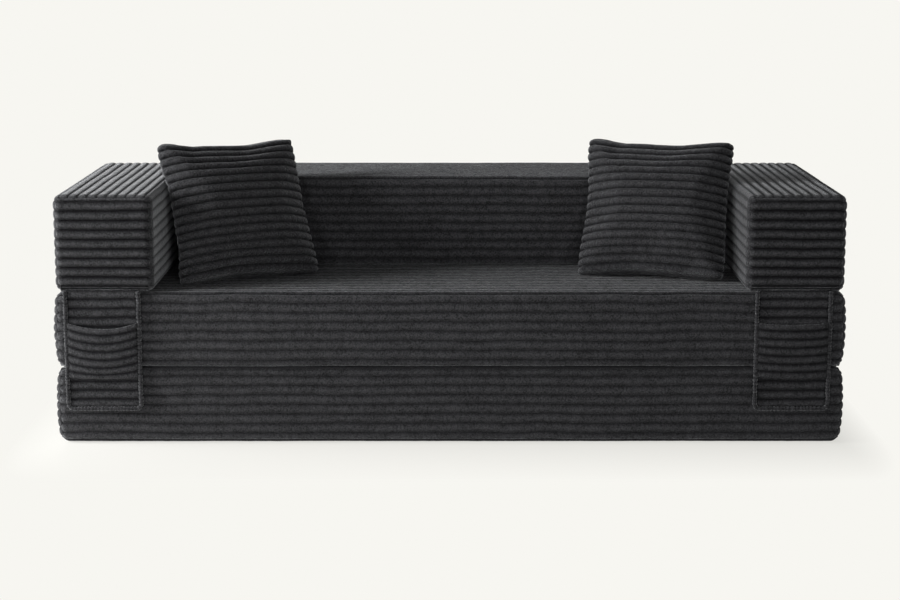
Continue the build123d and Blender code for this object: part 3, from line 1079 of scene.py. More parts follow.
    def bulged(self, points: np.ndarray) -> np.ndarray:
        """Let the foam swell out a little at both ends, most at half its height.

        Args:
            points: Points of the cover.

        Returns:
            The same points, moved.
        """
        height = 1 - (2 * points[..., 2] / self.height - 1) ** 2
        near_end = np.clip(np.abs(points[..., 0]) / (self.length / 2), 0, 1) ** 40
        points[..., 0] += np.sign(points[..., 0]) * self.swell * np.clip(height, 0, 1) * near_end
        return points

    def skirted(self, points: np.ndarray, dark: np.ndarray, side: int) -> tuple[np.ndarray, np.ndarray]:
        """Add the seam allowance around a panel, which turns into the block.

        Args:
            points: The panel's grid of points.
            dark: The shade painted at each point.
            side: The end that the panel is on.

        Returns:
            The wider grid and its painted shade.
        """
        points = np.pad(points, ((1, 1), (1, 1), (0, 0)), mode="edge")
        dark = np.pad(dark, 1, mode="edge")
        rim = rim_of(dark.shape)
        middle = np.array([0.0, self.height / 2])
        points[rim, 0] -= side * self.allowance
        points[rim, 1:] += (middle - points[rim, 1:]) * 0.01
        if self.open_below:
            points[0, :, 0] = side * (self.length / 2 - self.fine_reach)
            points[0, :, 2] = self.press_depth
        return points, dark


# The pillows


def resampled(grid: np.ndarray, rows: np.ndarray, columns: np.ndarray) -> np.ndarray:
    """Read a grid of points at other shares of its two directions, on smooth curves.

    Args:
        grid: Points in rows and columns.
        rows: The wanted shares from the first row to the last.
        columns: The wanted shares from the first column to the last.

    Returns:
        The points there.
    """
    for axis, shares in ((0, rows), (1, columns)):
        grid = np.moveaxis(grid, axis, 0)
        count = len(grid) - 1
        place = np.clip(shares, 0, 1) * count
        i = np.minimum(place.astype(int), count - 1)
        t = (place - i).reshape(-1, *[1] * (grid.ndim - 1))
        a, b, c, d = (grid[np.clip(i + k, 0, count)] for k in (-1, 0, 1, 2))
        grid = b + 0.5 * t * (c - a + t * (2 * a - 5 * b + 4 * c - d + t * (3 * (b - c) + d - a)))
        grid = np.moveaxis(grid, 0, axis)
    return grid


def evened(grid: np.ndarray, rounds: int) -> np.ndarray:
    """Even out a grid of points towards their neighbours.

    Args:
        grid: Points in rows and columns.
        rounds: How often that is done.

    Returns:
        The evened points.
    """
    for _ in range(rounds):
        for axis in (0, 1):
            wide = np.concatenate([grid.take([0], axis), grid, grid.take([-1], axis)], axis)
            count = grid.shape[axis]
            low, high = wide.take(range(count), axis), wide.take(range(2, count + 2), axis)
            grid = (low + 2 * grid + high) / 4
    return grid


def grid_normals(points: np.ndarray) -> np.ndarray:
    """The unit normals of a grid of points."""
    normals = np.cross(np.gradient(points, axis=1), np.gradient(points, axis=0))
    return normals / np.maximum(np.linalg.norm(normals, axis=-1, keepdims=True), 1e-12)


@dataclass
class Pillow:
    """A square pillow of two ribbed faces sewn together round their edge, leaning in a corner."""

    name: str
    side: int
    yaw: float
    lean: float
    roll: float
    seed: int
    size: float = 394 * MM
    crown: float = 148 * MM
    start: float = 0.15
    cells: int = 44
    frames: int = 24
    pressure: float = 5.0
    arm_gap: float = 4 * MM
    lean_gap: float = 3 * MM
    press: float = 4 * MM
    draw: float = 13 * MM
    fullness: float = 0.62
    pile: float = 9 * MM
    knuckle: float = 4.5 * MM
    round_off: float = 7 * MM
    lining: float = 9 * MM
    evening: int = 40
    slack: float = 1.2 * MM
    slack_size: float = 110 * MM
    slack_reach: float = 50 * MM
    lump_size: float = 40 * MM
    corner_reach: float = 13 * MM
    knuckle_reach: float = 16 * MM
    edge_shares: tuple[float, ...] = (0, 0.0015, 0.005, 0.01, 0.016, 0.023)
    ribs: Ribs = Ribs(pitch=23.6 * MM, depth=7.0 * MM, samples=10, wander=1.6 * MM, unevenness=0.6 * MM,
                      tip=7 * MM, painted_shade=0.75)
    shift: np.ndarray = field(default_factory=lambda: np.zeros(3))

    def shares(self) -> list[np.ndarray]:
        """The shares across and up a face where its points lie."""
        return np.meshgrid(*[np.linspace(0, 1, self.cells + 1)] * 2)

    def flat_faces(self) -> tuple[np.ndarray, np.ndarray]:
        """The front and back face before they are filled, slightly apart inside their edge.

        Returns:
            Both grids of points.
        """
        across, up = self.shares()
        height = (16 * across * (1 - across) * up * (1 - up)) ** 0.5 * self.start * self.crown
        front, back = (points_at((across - 0.5) * self.size, way * height, up * self.size) for way in (-1, 1))
        return front, back

    def sewn(self, front: np.ndarray, back: np.ndarray) -> tuple[bpy.types.Object, np.ndarray]:
        """Join two faces along their edge into one closed mesh.

        Args:
            front: The front face's points.
            back: The back face's points.

        Returns:
            The object, and the number of each back point.
        """
        rows, columns = front.shape[:2]
        inside = ~rim_of((rows, columns))
        behind = np.arange(rows * columns).reshape(rows, columns)
        behind[inside] = rows * columns + np.arange(inside.sum())
        points = np.concatenate([front.reshape(-1, 3), back[inside]])
        faces = grid_faces(rows, columns)
        turned = behind.reshape(-1)[faces][:, ::-1]
        return mesh_object(self.name + "_shape", points, np.vstack([faces, turned])), behind

    def inflated(self) -> tuple[np.ndarray, np.ndarray]:
        """Fill the sewn faces by a short cloth simulation.

        Returns:
            The front and back face, scaled to the pillow's size and crown.
        """
        front, back = self.flat_faces()
        shape, behind = self.sewn(front, back)
        cloth = shape.modifiers.new("filling", "CLOTH")
        for name, value in {"quality": 6, "mass": 0.3, "tension_stiffness": 18, "compression_stiffness": 18,
                            "shear_stiffness": 6, "bending_stiffness": 0.6, "use_pressure": True,
                            "uniform_pressure_force": self.pressure}.items():
            setattr(cloth.settings, name, value)
        cloth.settings.effector_weights.gravity = 0
        cloth.collision_settings.use_collision = False
        cloth.point_cache.frame_start, cloth.point_cache.frame_end = 1, self.frames
        for number in range(1, self.frames + 1):
            bpy.context.scene.frame_set(number)
        solved = shape.evaluated_get(bpy.context.evaluated_depsgraph_get()).to_mesh()
        points = points_of(solved)
        bpy.data.objects.remove(shape)
        bpy.context.scene.frame_set(1)
        return self.fitted(front, points[:behind.size].reshape(front.shape), points[behind])

    def fitted(self, flat: np.ndarray, front: np.ndarray, back: np.ndarray) -> tuple[np.ndarray, np.ndarray]:
        """Cap how far the simulated cloth moves, so that the pillow keeps its size and crown.

        Args:
            flat: The front face before it was filled.
            front: The filled front face.
            back: The filled back face.

        Returns:
            Both faces.
        """
        across, up = self.shares()
        weights = np.stack([(1 - across) * (1 - up), across * (1 - up), (1 - across) * up, across * up], -1)
        half = max(self.crown / 2 - self.pile, 1 * MM)
        deepest = max(np.abs(front[..., 1]).max(), np.abs(back[..., 1]).max())
        filled = []
        for face in (front, back):
            moved = evened(face - flat, self.evening)
            moved = moved - weights @ moved[[0, 0, -1, -1], [0, -1, 0, -1]]
            drawn = max(np.abs(moved[self.cells // 2, 0, 0]), 1 * MM)
            log.info("%s: crown %.0f mm, sides drawn in %.0f mm", self.name, 2 * deepest / MM, drawn / MM)
            moved = flat + moved * min(1.0, self.draw / drawn)
            moved[..., 1] = np.sign(face[..., 1]) * (np.abs(face[..., 1]) / deepest) ** self.fullness * half
            filled.append(moved)
        return filled[0], filled[1]

    def ribbed(self, face: np.ndarray, way: int) -> tuple[np.ndarray, np.ndarray]:
        """Lay the ribs on a face, with a rounded rim as thick as the pile.

        Args:
            face: The face's coarse points.
            way: -1 for the front, 1 for the back.

        Returns:
            The fine points, and the shade painted at each, deepest in the grooves and where the ribs round
            into the seam.
        """
        rows, phase = self.ribs.across(np.linspace(0, 1, round(self.size / self.ribs.pitch) + 1))
        near = np.concatenate([self.edge_shares, np.linspace(0.032, 0.5, 34)])
        columns = np.concatenate([near, (1 - near)[::-1][1:]])
        fine = resampled(face, rows, columns)
        across, up = np.meshgrid(columns * self.size, rows * self.size)
        from_side, from_end = (np.minimum(run, self.size - run) for run in (across, up))
        inward = np.minimum(from_side, from_end)
        fine[..., 1] += way * self.pile * self.ribs.rounded_tip(inward, self.pile)
        phases = np.broadcast_to(phase[:, None], across.shape)
        full = self.ribs.crest(phases)
        full[-1] = 0
        corner = self.round_off * np.exp(-(from_side + from_end) / self.corner_reach)
        outward = self.knuckle * (full - 0.4) * np.clip(1 - from_side / self.knuckle_reach, 0, 1) - corner
        fine[..., 0] += np.sign(across - self.size / 2) * outward
        fine[..., 2] -= np.sign(up - self.size / 2) * corner
        normals = grid_normals(fine) * (1 if way < 0 else -1)
        tips = self.ribs.tips(self.seed, phases, np.sign(across - self.size / 2), 1.0)
        crest = full * (0.35 + 0.65 * self.ribs.rounded_tip(from_side + 0.3 * MM, tips))
        uneven = self.ribs.unevenness * (1 + patches(self.seed + way, across, up, self.lump_size))
        sunk = (self.ribs.depth * (1 - crest) + uneven) * np.clip(inward / (5 * MM), 0.1, 1)
        slack = self.slack * patches(self.seed + 5 + way, across, up, self.slack_size)
        slack *= rise(inward, self.slack_reach)
        # The second result is painted shade, in the grooves and towards the sewn sides.
        return fine - normals * (sunk + slack)[..., None], self.ribs.shade(phases, crest)

    def place(self, points: np.ndarray, inside: float = 0.0) -> np.ndarray:
        """Lean the pillow in its corner and press it flat where it rests on the seat.

        Args:
            points: Its points, standing upright.
            inside: How far inside the cover they lie.

        Returns:
            The points in the corner.
        """
        turn = (Matrix.Rotation(math.radians(-self.side * self.yaw), 3, "Z")
                @ Matrix.Rotation(math.radians(-self.lean), 3, "X")
                @ Matrix.Rotation(math.radians(self.side * self.roll), 3, "Y"))
        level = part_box("seat_cover")[1].z + 0.4 * MM
        turned = points @ np.array(turn).T
        if not inside:
            back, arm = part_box("backrest_cover"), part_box("right_arm_cover")
            low = turned[turned[:, 2] - turned[:, 2].min() < back[1].z - back[0].z]
            self.shift = np.array([self.side * (arm[0].x - self.arm_gap - (self.side * low[:, 0]).max()),
                                   back[0].y - self.lean_gap - low[:, 1].max(),
                                   level - self.press - turned[:, 2].min()])
        turned += self.shift
        turned[:, 2] = np.maximum(turned[:, 2], level + inside)
        return turned

    def build(self) -> None:
        """Make the pillow and its filling."""
        front, back = coarse = self.inflated()
        (front, front_depth), (back, back_depth) = self.ribbed(front, -1), self.ribbed(back, 1)
        rim = rim_of(front.shape[:2])
        front[rim] = (front[rim] + back[rim]) / 2
        piece, behind = self.sewn(front, back)
        piece.name = self.name + "_plush_cover"
        points = points_of(piece.data)
        # The painted groove shade of both faces goes into the cover's groove value.
        depth = np.zeros(len(points))
        depth[behind] = back_depth
        depth[:front_depth.size] = front_depth.reshape(-1)
        move_points(piece.data, self.place(points))
        piece.data.attributes["groove"].data.foreach_set("value", depth.astype(np.float32))
        self.build_filling(*coarse)
        dressed(piece, Finish.PILLOW_PLUSH, self.name, self.name + "_cover")

    def build_filling(self, front: np.ndarray, back: np.ndarray) -> None:
        """The loose filling inside the cover.

        Args:
            front: The front face's coarse points.
            back: The back face's coarse points.
        """
        centre = np.array([0.0, 0.0, self.size / 2])
        thinner = np.array([1.0, 1 - 2 * self.lining / self.crown, 1.0])
        share = 1 - 4 * self.lining / self.size
        piece, _ = self.sewn(*((centre + (face - centre) * share) * thinner for face in (front, back)))
        piece.name = self.name + "_loose_filling"
        move_points(piece.data, self.place(points_of(piece.data), self.lining))
        dressed(piece, Finish.FILLING, self.name, self.name + "_filling")


# The pocket flaps


def swept(name: str, path: np.ndarray, normal: Colour, radii: np.ndarray, sides: int, flat: float = 1.0,
          dark: Optional[np.ndarray] = None) -> bpy.types.Object:
    """A tube along a path in one plane, closed at both ends.

    Args:
        name: The piece's name.
        path: The points that it follows.
        normal: The direction square to the path's plane.
        radii: Its radius at each point.
        sides: How many sides it has.
        flat: How thick it is along the normal, as a share of its width.
        dark: The shade painted at each point of the path.

    Returns:
        The object.
    """
    tangents = np.gradient(path, axis=0)
    tangents /= np.linalg.norm(tangents, axis=1, keepdims=True)
    out = np.array(normal, float)
    beside = np.cross(tangents, out)
    turns = np.arange(sides) * math.tau / sides
    ring = beside[:, None] * np.cos(turns)[None, :, None] + out * flat * np.sin(turns)[None, :, None]
    points = path[:, None] + ring * radii[:, None, None]
    points[0], points[-1] = path[0], path[-1]
    groove = None if dark is None else np.repeat(dark, sides)
    return welded(mesh_object(name, points, grid_faces(len(path), sides, True), groove))


def shell(name: str, front: np.ndarray, back: np.ndarray, groove: np.ndarray) -> bpy.types.Object:
    """A thin closed sheet between two grids of points that share their outline.

    Args:
        name: The piece's name.
        front: The front points.
        back: The back points.
        groove: The shade painted at each front point.

    Returns:
        The object.
    """
    points = np.concatenate([front, back[:, ::-1]], axis=1)
    depth = np.concatenate([groove, np.zeros_like(groove)], axis=1)
    closed = (points + points[:, ::-1]) / 2
    points = np.concatenate([closed[:1], points, closed[-1:]])
    depth = np.concatenate([depth[:1], depth, depth[-1:]])
    return welded(mesh_object(name, points, grid_faces(*depth.shape, True), depth))


@dataclass
class PocketFlap:
    """A ribbed flap with a rolled hem and an open pouch, hung from the front of an arm."""

    name: str
    arm: str
    sag: float
    seed: int
    hem: float = 8 * MM
    corner: float = 20 * MM
    roll: float = 6.0 * MM
    lip: float = 5.2 * MM
    cloth: float = 4 * MM
    tuck: float = 4 * MM
    overcast: float = 9.5 * MM
    lump_size: float = 40 * MM
    stitch_inset: float = 4.5 * MM
    stitch_width: float = 2.6 * MM
    pleat: float = 2.4 * MM
    pleat_size: float = 16 * MM
    pleat_reach: float = 20 * MM
    inner_end: float = 12 * MM
    ribs: Ribs = Ribs(pitch=23 * MM, depth=3.6 * MM, wander=1.2 * MM, unevenness=0.4 * MM, tip=8 * MM,
                      painted_shade=0.85)

    def rib_rows(self, low: float, high: float) -> tuple[np.ndarray, np.ndarray]:
        """Rows across the ribs between two heights, and the rib phase there."""
        return self.ribs.across(np.linspace(low, high, max(1, round((high - low) / self.ribs.pitch)) + 1))

    def columns(self, count: int) -> np.ndarray:
        """Shares across a flap, closer together near its sides."""
        return 0.5 - 0.5 * np.cos(np.pi * np.linspace(0, 1, count + 1))

    def build(self) -> None:
        """Make the hem, the pouch and the panel."""
        hem = self.build_hem()
        self.build_pouch()
        panel = self.build_panel()

    def build_panel(self) -> bpy.types.Object:
        """The ribbed cloth of the flap.

        Returns:
            The piece.
        """
        low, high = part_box(self.name + "_panel")
        radius = self.corner - self.hem
        rows, phase = self.rib_rows(low.z, high.z)
        share, z = np.meshgrid(self.columns(30), rows)
        phases = np.broadcast_to(phase[:, None], z.shape)
        bend = np.clip(radius - (z - low.z), 0, radius)
        half = (high.x - low.x) / 2 - radius + np.sqrt(radius ** 2 - bend ** 2)
        across = (share * 2 - 1) * half
        from_side = half - np.abs(across)
        crest = self.ribs.crest(phases) * self.ribs.rounded_tip(from_side + 0.5 * MM, self.ribs.tip)
        uneven = patches(self.seed, across, z, self.lump_size)
        front = low.y + self.ribs.depth * (1 - crest) + self.ribs.unevenness * (1 + uneven)
        x = across + (low.x + high.x) / 2
        z = np.clip(z + self.ribs.wander * uneven * rise(from_side, 20 * MM), low.z, high.z)
        grids = [points_at(x, y, z) for y in (front, high.y - 0.3 * MM)]
        from_rim = np.minimum(from_side, z - low.z)
        pricks = 0.6 + 0.4 * np.cos((z + across) * math.tau / self.overcast)
        stitches = np.exp(-((from_rim - self.stitch_inset) / self.stitch_width) ** 2) * pricks
        # Painted shade in the rib grooves, together with the dark overcast stitches near the rim.
        dark = np.maximum(self.ribs.shade(phases, crest), stitches)
        panel = shell(self.name + "_ribbed_panel", *grids, dark)
        return dressed(panel, Finish.POCKET_PLUSH, self.name, self.name + "_panel")

    def build_hem(self) -> bpy.types.Object:
        """The rolled edge down both sides and along the foot, overcast with thread.

        Returns:
            The piece.
        """
        low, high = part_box(self.name + "_hem")
        radius = self.roll
        left, right, foot, top = low.x + radius, high.x - radius, low.z + radius, high.z
        bend = self.corner - radius
        turns = [(bend * math.cos(a), bend * math.sin(a)) for a in np.linspace(0, math.pi / 2, 16)]
        sides = np.linspace(top, foot + bend, 190, endpoint=False)
        line = [(left, z) for z in sides]
        line += [(left + bend - cos, foot + bend - sin) for cos, sin in turns]
        line += [(x, foot) for x in np.linspace(left + bend, right - bend, 105)[1:-1]]
        line += [(right - bend + sin, foot + bend - cos) for cos, sin in turns]
        line += [(right, z) for z in sides[::-1]]
        x, z = np.transpose(line)
        path = points_at(x, high.y - radius, z)
        run = run_along(path)
        uneven = patches(self.seed + 3, run, run, 30 * MM)
        puffs = np.abs(np.sin((run / self.overcast + 0.5 * uneven) * math.pi))
        radii = radius * (0.62 + 0.38 * puffs ** 0.7) * (1 + 0.12 * uneven)
        path[:, 1] += 0.6 * MM * uneven
        path[1:-1, 0] += 0.8 * MM * patches(self.seed + 4, run, run, 14 * MM)[1:-1]
        # The hem carries painted shade, a little everywhere and most in the creases between the puffs.
        hem = swept(self.name + "_rolled_hem", path, (0, 1, 0), np.minimum(radii, radius), 14, 0.97,
                    0.05 + 0.5 * (1 - puffs) ** 1.5)
        return dressed(hem, Finish.POCKET_PLUSH, self.name, self.name + "_hem")

    def build_pouch(self) -> None:
        """The open pouch, its mouth sagging between the side seams and its ribs with it."""
        low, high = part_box(self.name + "_pouch")
        low.x, high.x = low.x - self.tuck, high.x + self.tuck
        width, tall, deep = high.x - low.x, high.z - low.z, high.y - low.y
        mouth = tall - self.lip
        count = round(mouth / self.ribs.pitch)
        rows, phase = self.rib_rows(0, mouth * count / (count + 0.5))
        rows = np.append(rows, np.linspace(rows[-1], mouth, 6)[1:])
        phase = np.append(phase, count + np.linspace(0, 0.5, 6)[1:])
        lip = np.linspace(0, math.pi, 13)
        inner = np.linspace(mouth, self.inner_end, 12)
        heights = np.concatenate([rows, mouth + np.sin(lip) * self.lip, inner])
        inward = np.concatenate([0 * rows, (1 - np.cos(lip)) / 2, 0 * inner + 1])
        phases = np.concatenate([phase, 0 * lip + 0.5, 0 * inner + 0.5])
        share, z = np.meshgrid(self.columns(40), heights)
        inward, phases = (np.broadcast_to(column[:, None], z.shape) for column in (inward, phases))
        middle = 1 - (2 * share - 1) ** 2
        up = rise(z, tall)
        swell = middle ** 0.42 * (0.5 + 0.5 * up ** 0.8) * rise(z, 7 * MM) ** 0.5
        from_side = np.minimum(share, 1 - share) * width
        crest = self.ribs.crest(phases) * self.ribs.rounded_tip(from_side + 0.8 * MM, self.ribs.tip)
        pleats = self.pleat * patches(self.seed + 7, z, from_side, self.pleat_size)
        pleats *= np.exp(-from_side / self.pleat_reach)
        stand = (deep - self.ribs.depth) * swell + self.ribs.depth * crest * swell ** 0.5 + pleats * middle
        y = high.y - np.minimum(stand, deep) * (1 - inward) - (stand - self.cloth - self.ribs.depth) * inward
        y = np.minimum(y, high.y)
        sag = self.sag * middle * (1 - (1 - up) ** 6)
        z = low.z + z - sag + 0.8 * MM * patches(self.seed + 8, share * width, z, 30 * MM) * up
        points = points_at(low.x + share * width, y, np.maximum(z, low.z))
        # Painted shade in the rib grooves, fading out over the lip, and painted shade towards the side seams.
        groove = np.maximum(self.ribs.shade(phases, crest) * (1 - inward), np.exp(-from_side / (4 * MM)))
        pouch = mesh_object(self.name + "_ribbed_pouch", points, grid_faces(*z.shape), groove)
        dressed(pouch, Finish.POCKET_PLUSH, self.name, self.name + "_pouch")


# Strips, cloths, foam and zips


def joined(name: str, *things: bpy.types.Object) -> bpy.types.Object:
    """Make one piece of several.

    Args:
        name: The piece's name.
        things: What it is made of.

    Returns:
        The piece.
    """
    form = bmesh.new()
    for thing in things:
        form.from_mesh(thing.data)
    form.to_mesh(things[0].data)
    form.free()
    for thing in things[1:]:
        bpy.data.objects.remove(thing)
    things[0].name = name
    return things[0]


@dataclass(frozen=True)
class Strips:
    """Fastening strips on a block, each with a stitched selvedge around its tufted field."""

    node: str
    body: str
    finish: Finish
    facing: int
    places: tuple[Patch, ...]
    stitch: float = 4 * MM
    stitch_inset: float = 1.8 * MM
    stitch_width: float = 0.7 * MM
    stitch_depth: float = 0.35 * MM
    selvedge: float = 3.0 * MM
    rim: tuple[float, ...] = (0.0, 0.6 * MM, 1.8 * MM, 3.0 * MM, 3.8 * MM, 5.0 * MM)

    def build(self) -> None:
        """Make all strips of the node."""
        strips = [self.strip(patch, number) for number, patch in enumerate(self.places)]
        dressed(joined(self.node + "_sewn", *strips), self.finish, self.body, self.node)

    def strip(self, patch: Patch, number: int) -> bpy.types.Object:
        """One strip.

        Args:
            patch: Where it lies.
            number: Which one it is.

        Returns:
            The strip.
        """
        low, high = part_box(self.node)
        thick = high.z - low.z
        width, length = sorted((patch.width, patch.length))
        rim = np.array(self.rim)
        along = np.concatenate([rim, np.arange(7 * MM, length - 7 * MM, self.stitch / 2), length - rim[::-1]])
        across = np.concatenate([rim, np.linspace(9 * MM, width - 9 * MM, 7), width - rim[::-1]])
        u, v = np.meshgrid(along, across)
        from_edge = np.minimum(np.minimum(u, length - u), np.minimum(v, width - v))
        field_share = rise(from_edge - self.selvedge, 1.2 * MM)
        stitches = np.exp(-((from_edge - self.stitch_inset) / self.stitch_width) ** 2)
        stitches *= 0.5 + 0.5 * np.cos(math.tau * u / self.stitch)
        height = thick * (0.5 * np.clip(from_edge / (0.6 * MM), 0.3, 1) + 0.42 * field_share)
        height += 0.12 * MM * patches(number, u, v, 12 * MM) - self.stitch_depth * stitches
        height = np.clip(height, 0.2 * MM, thick)
        u, v = u - length / 2, v - width / 2
        x, y = (u, v) if patch.length > patch.width else (v, u)
        level = low.z if self.facing > 0 else high.z
        grids = [points_at(x + patch.x, y + patch.y, level + self.facing * rises) for rises in (height, 0.0)]
        return shell(f"{self.node}_{number}", *grids, 1 - field_share)


@dataclass(frozen=True)
class BaseCloth:
    """The smooth cloth stretched over a slab's open side, puckered along its seams, with a front tab."""

    node: str
    body: str
    facing: int
    thickness: float = 1.2 * MM
    pucker: float = 26 * MM
    pucker_depth: float = 0.5 * MM
    pucker_reach: float = 22 * MM
    hollow_size: float = 160 * MM
    tab: float = 13 * MM

    def build(self) -> None:
        """Make the cloth."""
        low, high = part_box(self.node)
        width, depth = high.x - low.x, high.y - low.y
        columns = np.linspace(0, width, 300)
        rows = np.concatenate([np.linspace(0, self.tab, 5), np.linspace(self.tab, depth, 45)[1:]])
        u, v = np.meshgrid(columns, rows)
        from_side, from_front = np.minimum(u, width - u), np.minimum(np.abs(v - self.tab), depth - v)
        from_seam = np.minimum(from_side, from_front)
        along = np.where(from_side < from_front, v, u)
        puckers = 0.5 + 0.5 * np.cos(math.tau * along / self.pucker)
        puckers *= np.exp(-from_seam / self.pucker_reach)
        hollows = 1 + patches(5, u, v, self.hollow_size)
        sunk = 0.15 * MM + self.pucker_depth * puckers + 0.25 * MM * hollows
        sunk = np.where(v < self.tab, 0.2 * MM, sunk)
        face = high.z if self.facing > 0 else low.z
        outer = points_at(low.x + u, low.y + v, face - self.facing * sunk)
        inner = outer - np.array([0, 0, self.facing * self.thickness])
        cloth = shell(self.node + "_stretched", outer, inner, puckers * 0.4)
        self.body + "_foam_block"
        dressed(cloth, Finish.BASE_CLOTH, self.body, self.node)


@dataclass(frozen=True)
class Welt:
    """The thin sewn line that joins both slabs in front, drawn in by each stitch."""

    node: str = "fold_line_welt"
    body: str = "seat"
    stitch: float = 7 * MM

    def build(self) -> None:
        """Make the welt."""
        low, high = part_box(self.node)
        x = np.arange(low.x, high.x, self.stitch / 4)
        path = points_at(x, (low.y + high.y) / 2, (low.z + high.z) / 2)
        drawn = 0.82 + 0.18 * np.abs(np.sin(math.pi * x / self.stitch))
        piece = swept(self.node + "_sewn", path, (0, 1, 0), (high.y - low.y) / 2 * drawn, 8)
        dressed(piece, Finish.WELT, self.body, self.node)


def build_hanger(arm: str, seed: int) -> None:
    """The cloth strip in an arm's front seam that carries the pocket flap.

    Args:
        arm: The arm that it is sewn to.
        seed: Picks its unevenness.
    """
    node = arm + "_pocket_hanger"
    low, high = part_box(node)
    u, v = np.meshgrid(np.linspace(low.x, high.x, 70), np.linspace(low.y, high.y, 8))
    puckers = 0.5 + 0.5 * np.cos(u * math.tau / (9 * MM))
    wave = 0.15 * MM * (1 + patches(seed, u, v, 18 * MM)) + 0.2 * MM * puckers
    grids = [points_at(u, v, z) for z in (high.z - wave, low.z + 0.3 * MM - wave * 0.5)]
    strip = shell(node + "_sewn", *grids, 0 * u)
    dressed(strip, Finish.POCKET_PLUSH, arm, node)


def build_foam(block: str, radius: float = 14 * MM) -> None:
    """The foam block inside a cover, its edges rounded and its faces a little full.

    Args:
        block: The block that it fills.
        radius: How far its edges are rounded.
    """
    low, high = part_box(block + "_foam_core")
    middle, half = np.array((low + high) / 2), np.array((high - low) / 2)
    form = bmesh.new()
    bmesh.ops.create_cube(form, size=2.0)
    bmesh.ops.subdivide_edges(form, edges=form.edges, cuts=9, use_grid_fill=True)
    core = half - radius
    for vertex in form.verts:
        share = np.array(vertex.co)
        share = np.sign(share) * (1 - (1 - np.abs(share)) ** 1.6)
        inner = np.clip(share * half, -core, core)
        out = share * half - inner
        size = np.linalg.norm(out)
        vertex.co = middle + inner + (out / size * min(radius, size) if size else out)
    mesh = bpy.data.meshes.new(block)
    form.to_mesh(mesh)
    form.free()
    mesh.polygons.foreach_set("use_smooth", [True] * len(mesh.polygons))
    piece = linked(block + "_foam_block", mesh)
    dressed(piece, Finish.FOAM, block, block + "_foam_core")


def mirrored(edge: Line, x: int = 1, y: int = -1) -> Line:
    """An edge given in millimetres, and its mirror image backwards.

    Args:
        edge: The points of the edge.
        x: What X is multiplied with in the image.
        y: What Y is multiplied with in the image.

    Returns:
        The closed outline in metres.
    """
    return [(a * MM, b * MM) for a, b in edge] + [(a * x * MM, b * y * MM) for a, b in reversed(edge)]


def rounded(left: float, right: float, half: float, radius: float) -> Line:
    """A rectangle's outline with rounded corners, its measures in millimetres.

    Args:
        left: Its low X.
        right: Its high X.
        half: Half its width along Y.
        radius: The radius of its corners.

    Returns:
        The points around it in metres.
    """
    low, high, side = left + radius, right - radius, half - radius
    corners = ((high, side, 0), (low, side, 1), (low, -side, 2), (high, -side, 3))
    turns = [(x, y, (quarter + step / 5) * math.pi / 2) for x, y, quarter in corners for step in range(6)]
    return [((x + radius * math.cos(a)) * MM, (y + radius * math.sin(a)) * MM) for x, y, a in turns]


def plate(name: str, outlines: Sequence[Line], low: float, high: float, bevel: float,
          turn: Matrix = Matrix.Identity(4)) -> bpy.types.Object:
    """A flat piece with soft edges, cut to outlines of which the later ones are holes.

    Args:
        name: Its name.
        outlines: The points around it and around each hole.
        low: Its lower face, in millimetres.
        high: Its upper face, in millimetres.
        bevel: How far its edges are rounded, in millimetres.
        turn: Turns it from its own plane.

    Returns:
        The object.
    """
    curve = bpy.data.curves.new(name, "CURVE")
    curve.dimensions, curve.fill_mode = "2D", "BOTH"
    curve.extrude, curve.bevel_depth = ((high - low) / 2 - bevel) * MM, bevel * MM
    curve.bevel_resolution, curve.offset = 2, -bevel * MM
    for outline in outlines:
        spline = curve.splines.new("POLY")
        spline.points.add(len(outline) - 1)
        spline.points.foreach_set("co", [part for x, y in outline for part in (x, y, 0.0, 1.0)])
        spline.use_cyclic_u = True
    drawn = linked(name, curve)
    bpy.context.view_layer.update()
    mesh = bpy.data.meshes.new_from_object(drawn.evaluated_get(bpy.context.evaluated_depsgraph_get()))
    bpy.data.objects.remove(drawn)
    mesh.transform(turn @ Matrix.Translation((0, 0, (low + high) / 2 * MM)))
    return linked(name, mesh)


